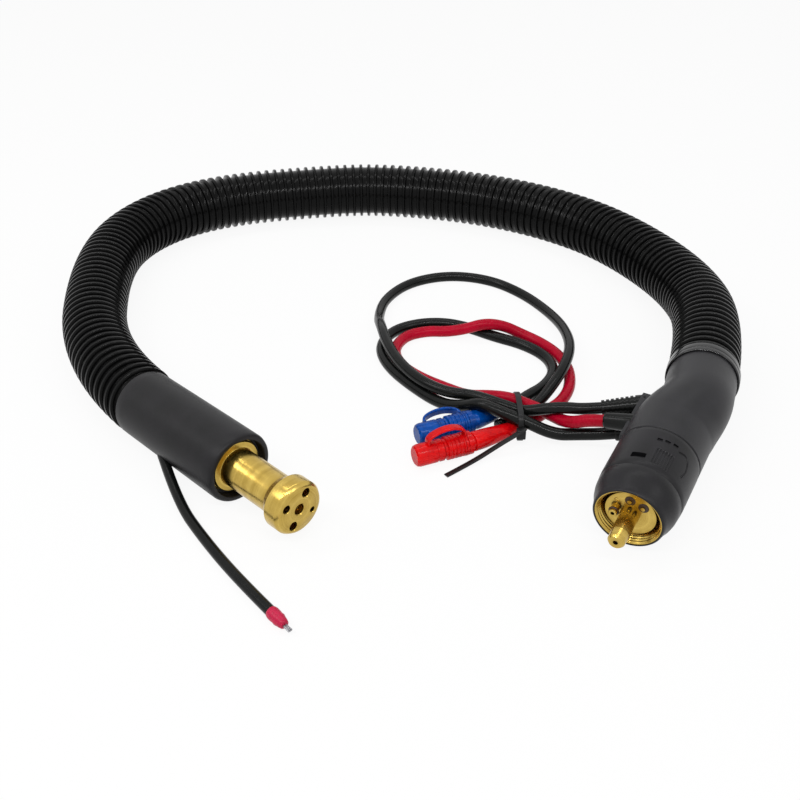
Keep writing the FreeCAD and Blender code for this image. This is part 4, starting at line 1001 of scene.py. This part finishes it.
def makeTie():
    loop = layBand("loop", [(along, height, 0.0) for along, height in tie["loop"]], 0.0, True)
    loop.data.transform(Matrix(((0, 0, 1, tie["place"] * mm), (1, 0, 0, 0), (0, 1, 0, 0), (0, 0, 0, 1))))
    headAxes = Matrix.Translation(Vector((tie["place"], *tie["headPlace"])) * mm)
    head = blockPiece("head", tie["head"], headAxes, tie["headBevel"])
    tail = layBand("tail", tie["tail"], 90.0, False)
    piece = joinPieces([loop, head, tail], "leadTie")
    smoothOver(piece, 40)
    settle(piece, "tieBlack", "assembly", "lead_tie")


makeTie()
print("tip and tie made")

# nodes of the frame that keep their shape and take a finish
keeps = {
    "leadBlack": ("control_lead_relief", "red_lead_sleeve", "black_lead_sleeve", "control_cable",
                  "power_cable_tube", "gas_hose"),
    "brass": ("plug_body", "guide_pin", "liner_nipple", "gas_nipple", "control_pin_top", "control_pin_side",
              "plug_crimp", "block_crimp", "liner_end_bush"),
    "steel": ("retaining_ring", "housing_screws"),
    "copper": ("power_cable_core",),
    "bushBrown": ("control_pin_bushes", "gas_nipple_ring"),
    "linerWhite": ("wire_liner",),
    "leadRed": ("water_return_hose",),
    "tubeBlue": ("water_supply_hose",),
}
for finish, names in keeps.items():
    for name in names:
        for materialSlot in nodes[name].material_slots:
            materialSlot.material = finishes[finish]

# the hose's length in metres, rounded
round(hoseLength * mm, 3)

# floor, world and lamps
studio = {
    "floorSize": 8.0, "shadowShare": 0.09, "floorTone": plain(0.96, 0.96, 0.96), "worldLight": 0.35,
    "lamps": [
        {"name": "front", "place": (-0.1, -0.72, 1.0), "size": (1.3, 0.03), "watts": 6.5},
        {"name": "overhead", "place": (0.0, 0.35, 1.35), "size": (1.5, 0.1), "watts": 3.5},
        {"name": "left", "place": (-1.0, -0.2, 1.05), "size": (0.25, 0.6), "watts": 3.0},
        {"name": "right", "place": (1.0, -0.7, 1.0), "size": (0.25, 0.5), "watts": 1.8},
    ],
}


def seenDirectly(finish):
    # 1 for the rays of the camera, of reflections and of what is seen through, 0 for the others
    rays = finish.add("ShaderNodeLightPath")
    return (rays + rays.other(3) + rays.other(6)).atMost(1.0)


def makeFloor():
    clearSelection()
    bpy.ops.mesh.primitive_plane_add(size=studio["floorSize"])
    floor = bpy.context.object
    floor.name = "floor"
    finish = Finish(bpy.data.materials.new("floorWhite"))
    diffuse = finish.add("ShaderNodeBsdfDiffuse", {}, {"Color": studio["floorTone"]})
    white = finish.add("ShaderNodeEmission", {}, {"Color": plain(1, 1, 1), "Strength": 1.0})
    share = seenDirectly(finish) * (1.0 - studio["shadowShare"])
    floor.data.materials.append(finish.show(finish.add("ShaderNodeMixShader", {},
                                                       {0: share, 1: diffuse, 2: white})))


def makeWorld():
    finish = Finish(bpy.data.worlds.new("studio"), "ShaderNodeOutputWorld")
    light, white = (finish.add("ShaderNodeBackground", {}, {"Color": plain(1, 1, 1), "Strength": strength})
                    for strength in (studio["worldLight"], 1.0))
    shown = finish.add("ShaderNodeMixShader", {}, {0: seenDirectly(finish), 1: light, 2: white})
    bpy.context.scene.world = finish.show(shown)


def hangLamp(lamp):
    clearSelection()
    bpy.ops.object.light_add(type="AREA", location=lamp["place"])
    light = bpy.context.object
    light.name = lamp["name"]
    light.data.shape = "RECTANGLE"
    light.data.size, light.data.size_y = lamp["size"]
    light.data.energy = lamp["watts"]
    light.rotation_euler = (-Vector(lamp["place"])).to_track_quat("-Z", "Y").to_euler()


makeFloor()
makeWorld()
for lamp in studio["lamps"]:
    hangLamp(lamp)
bpy.context.scene.view_settings.view_transform = "Standard"
print("studio set")
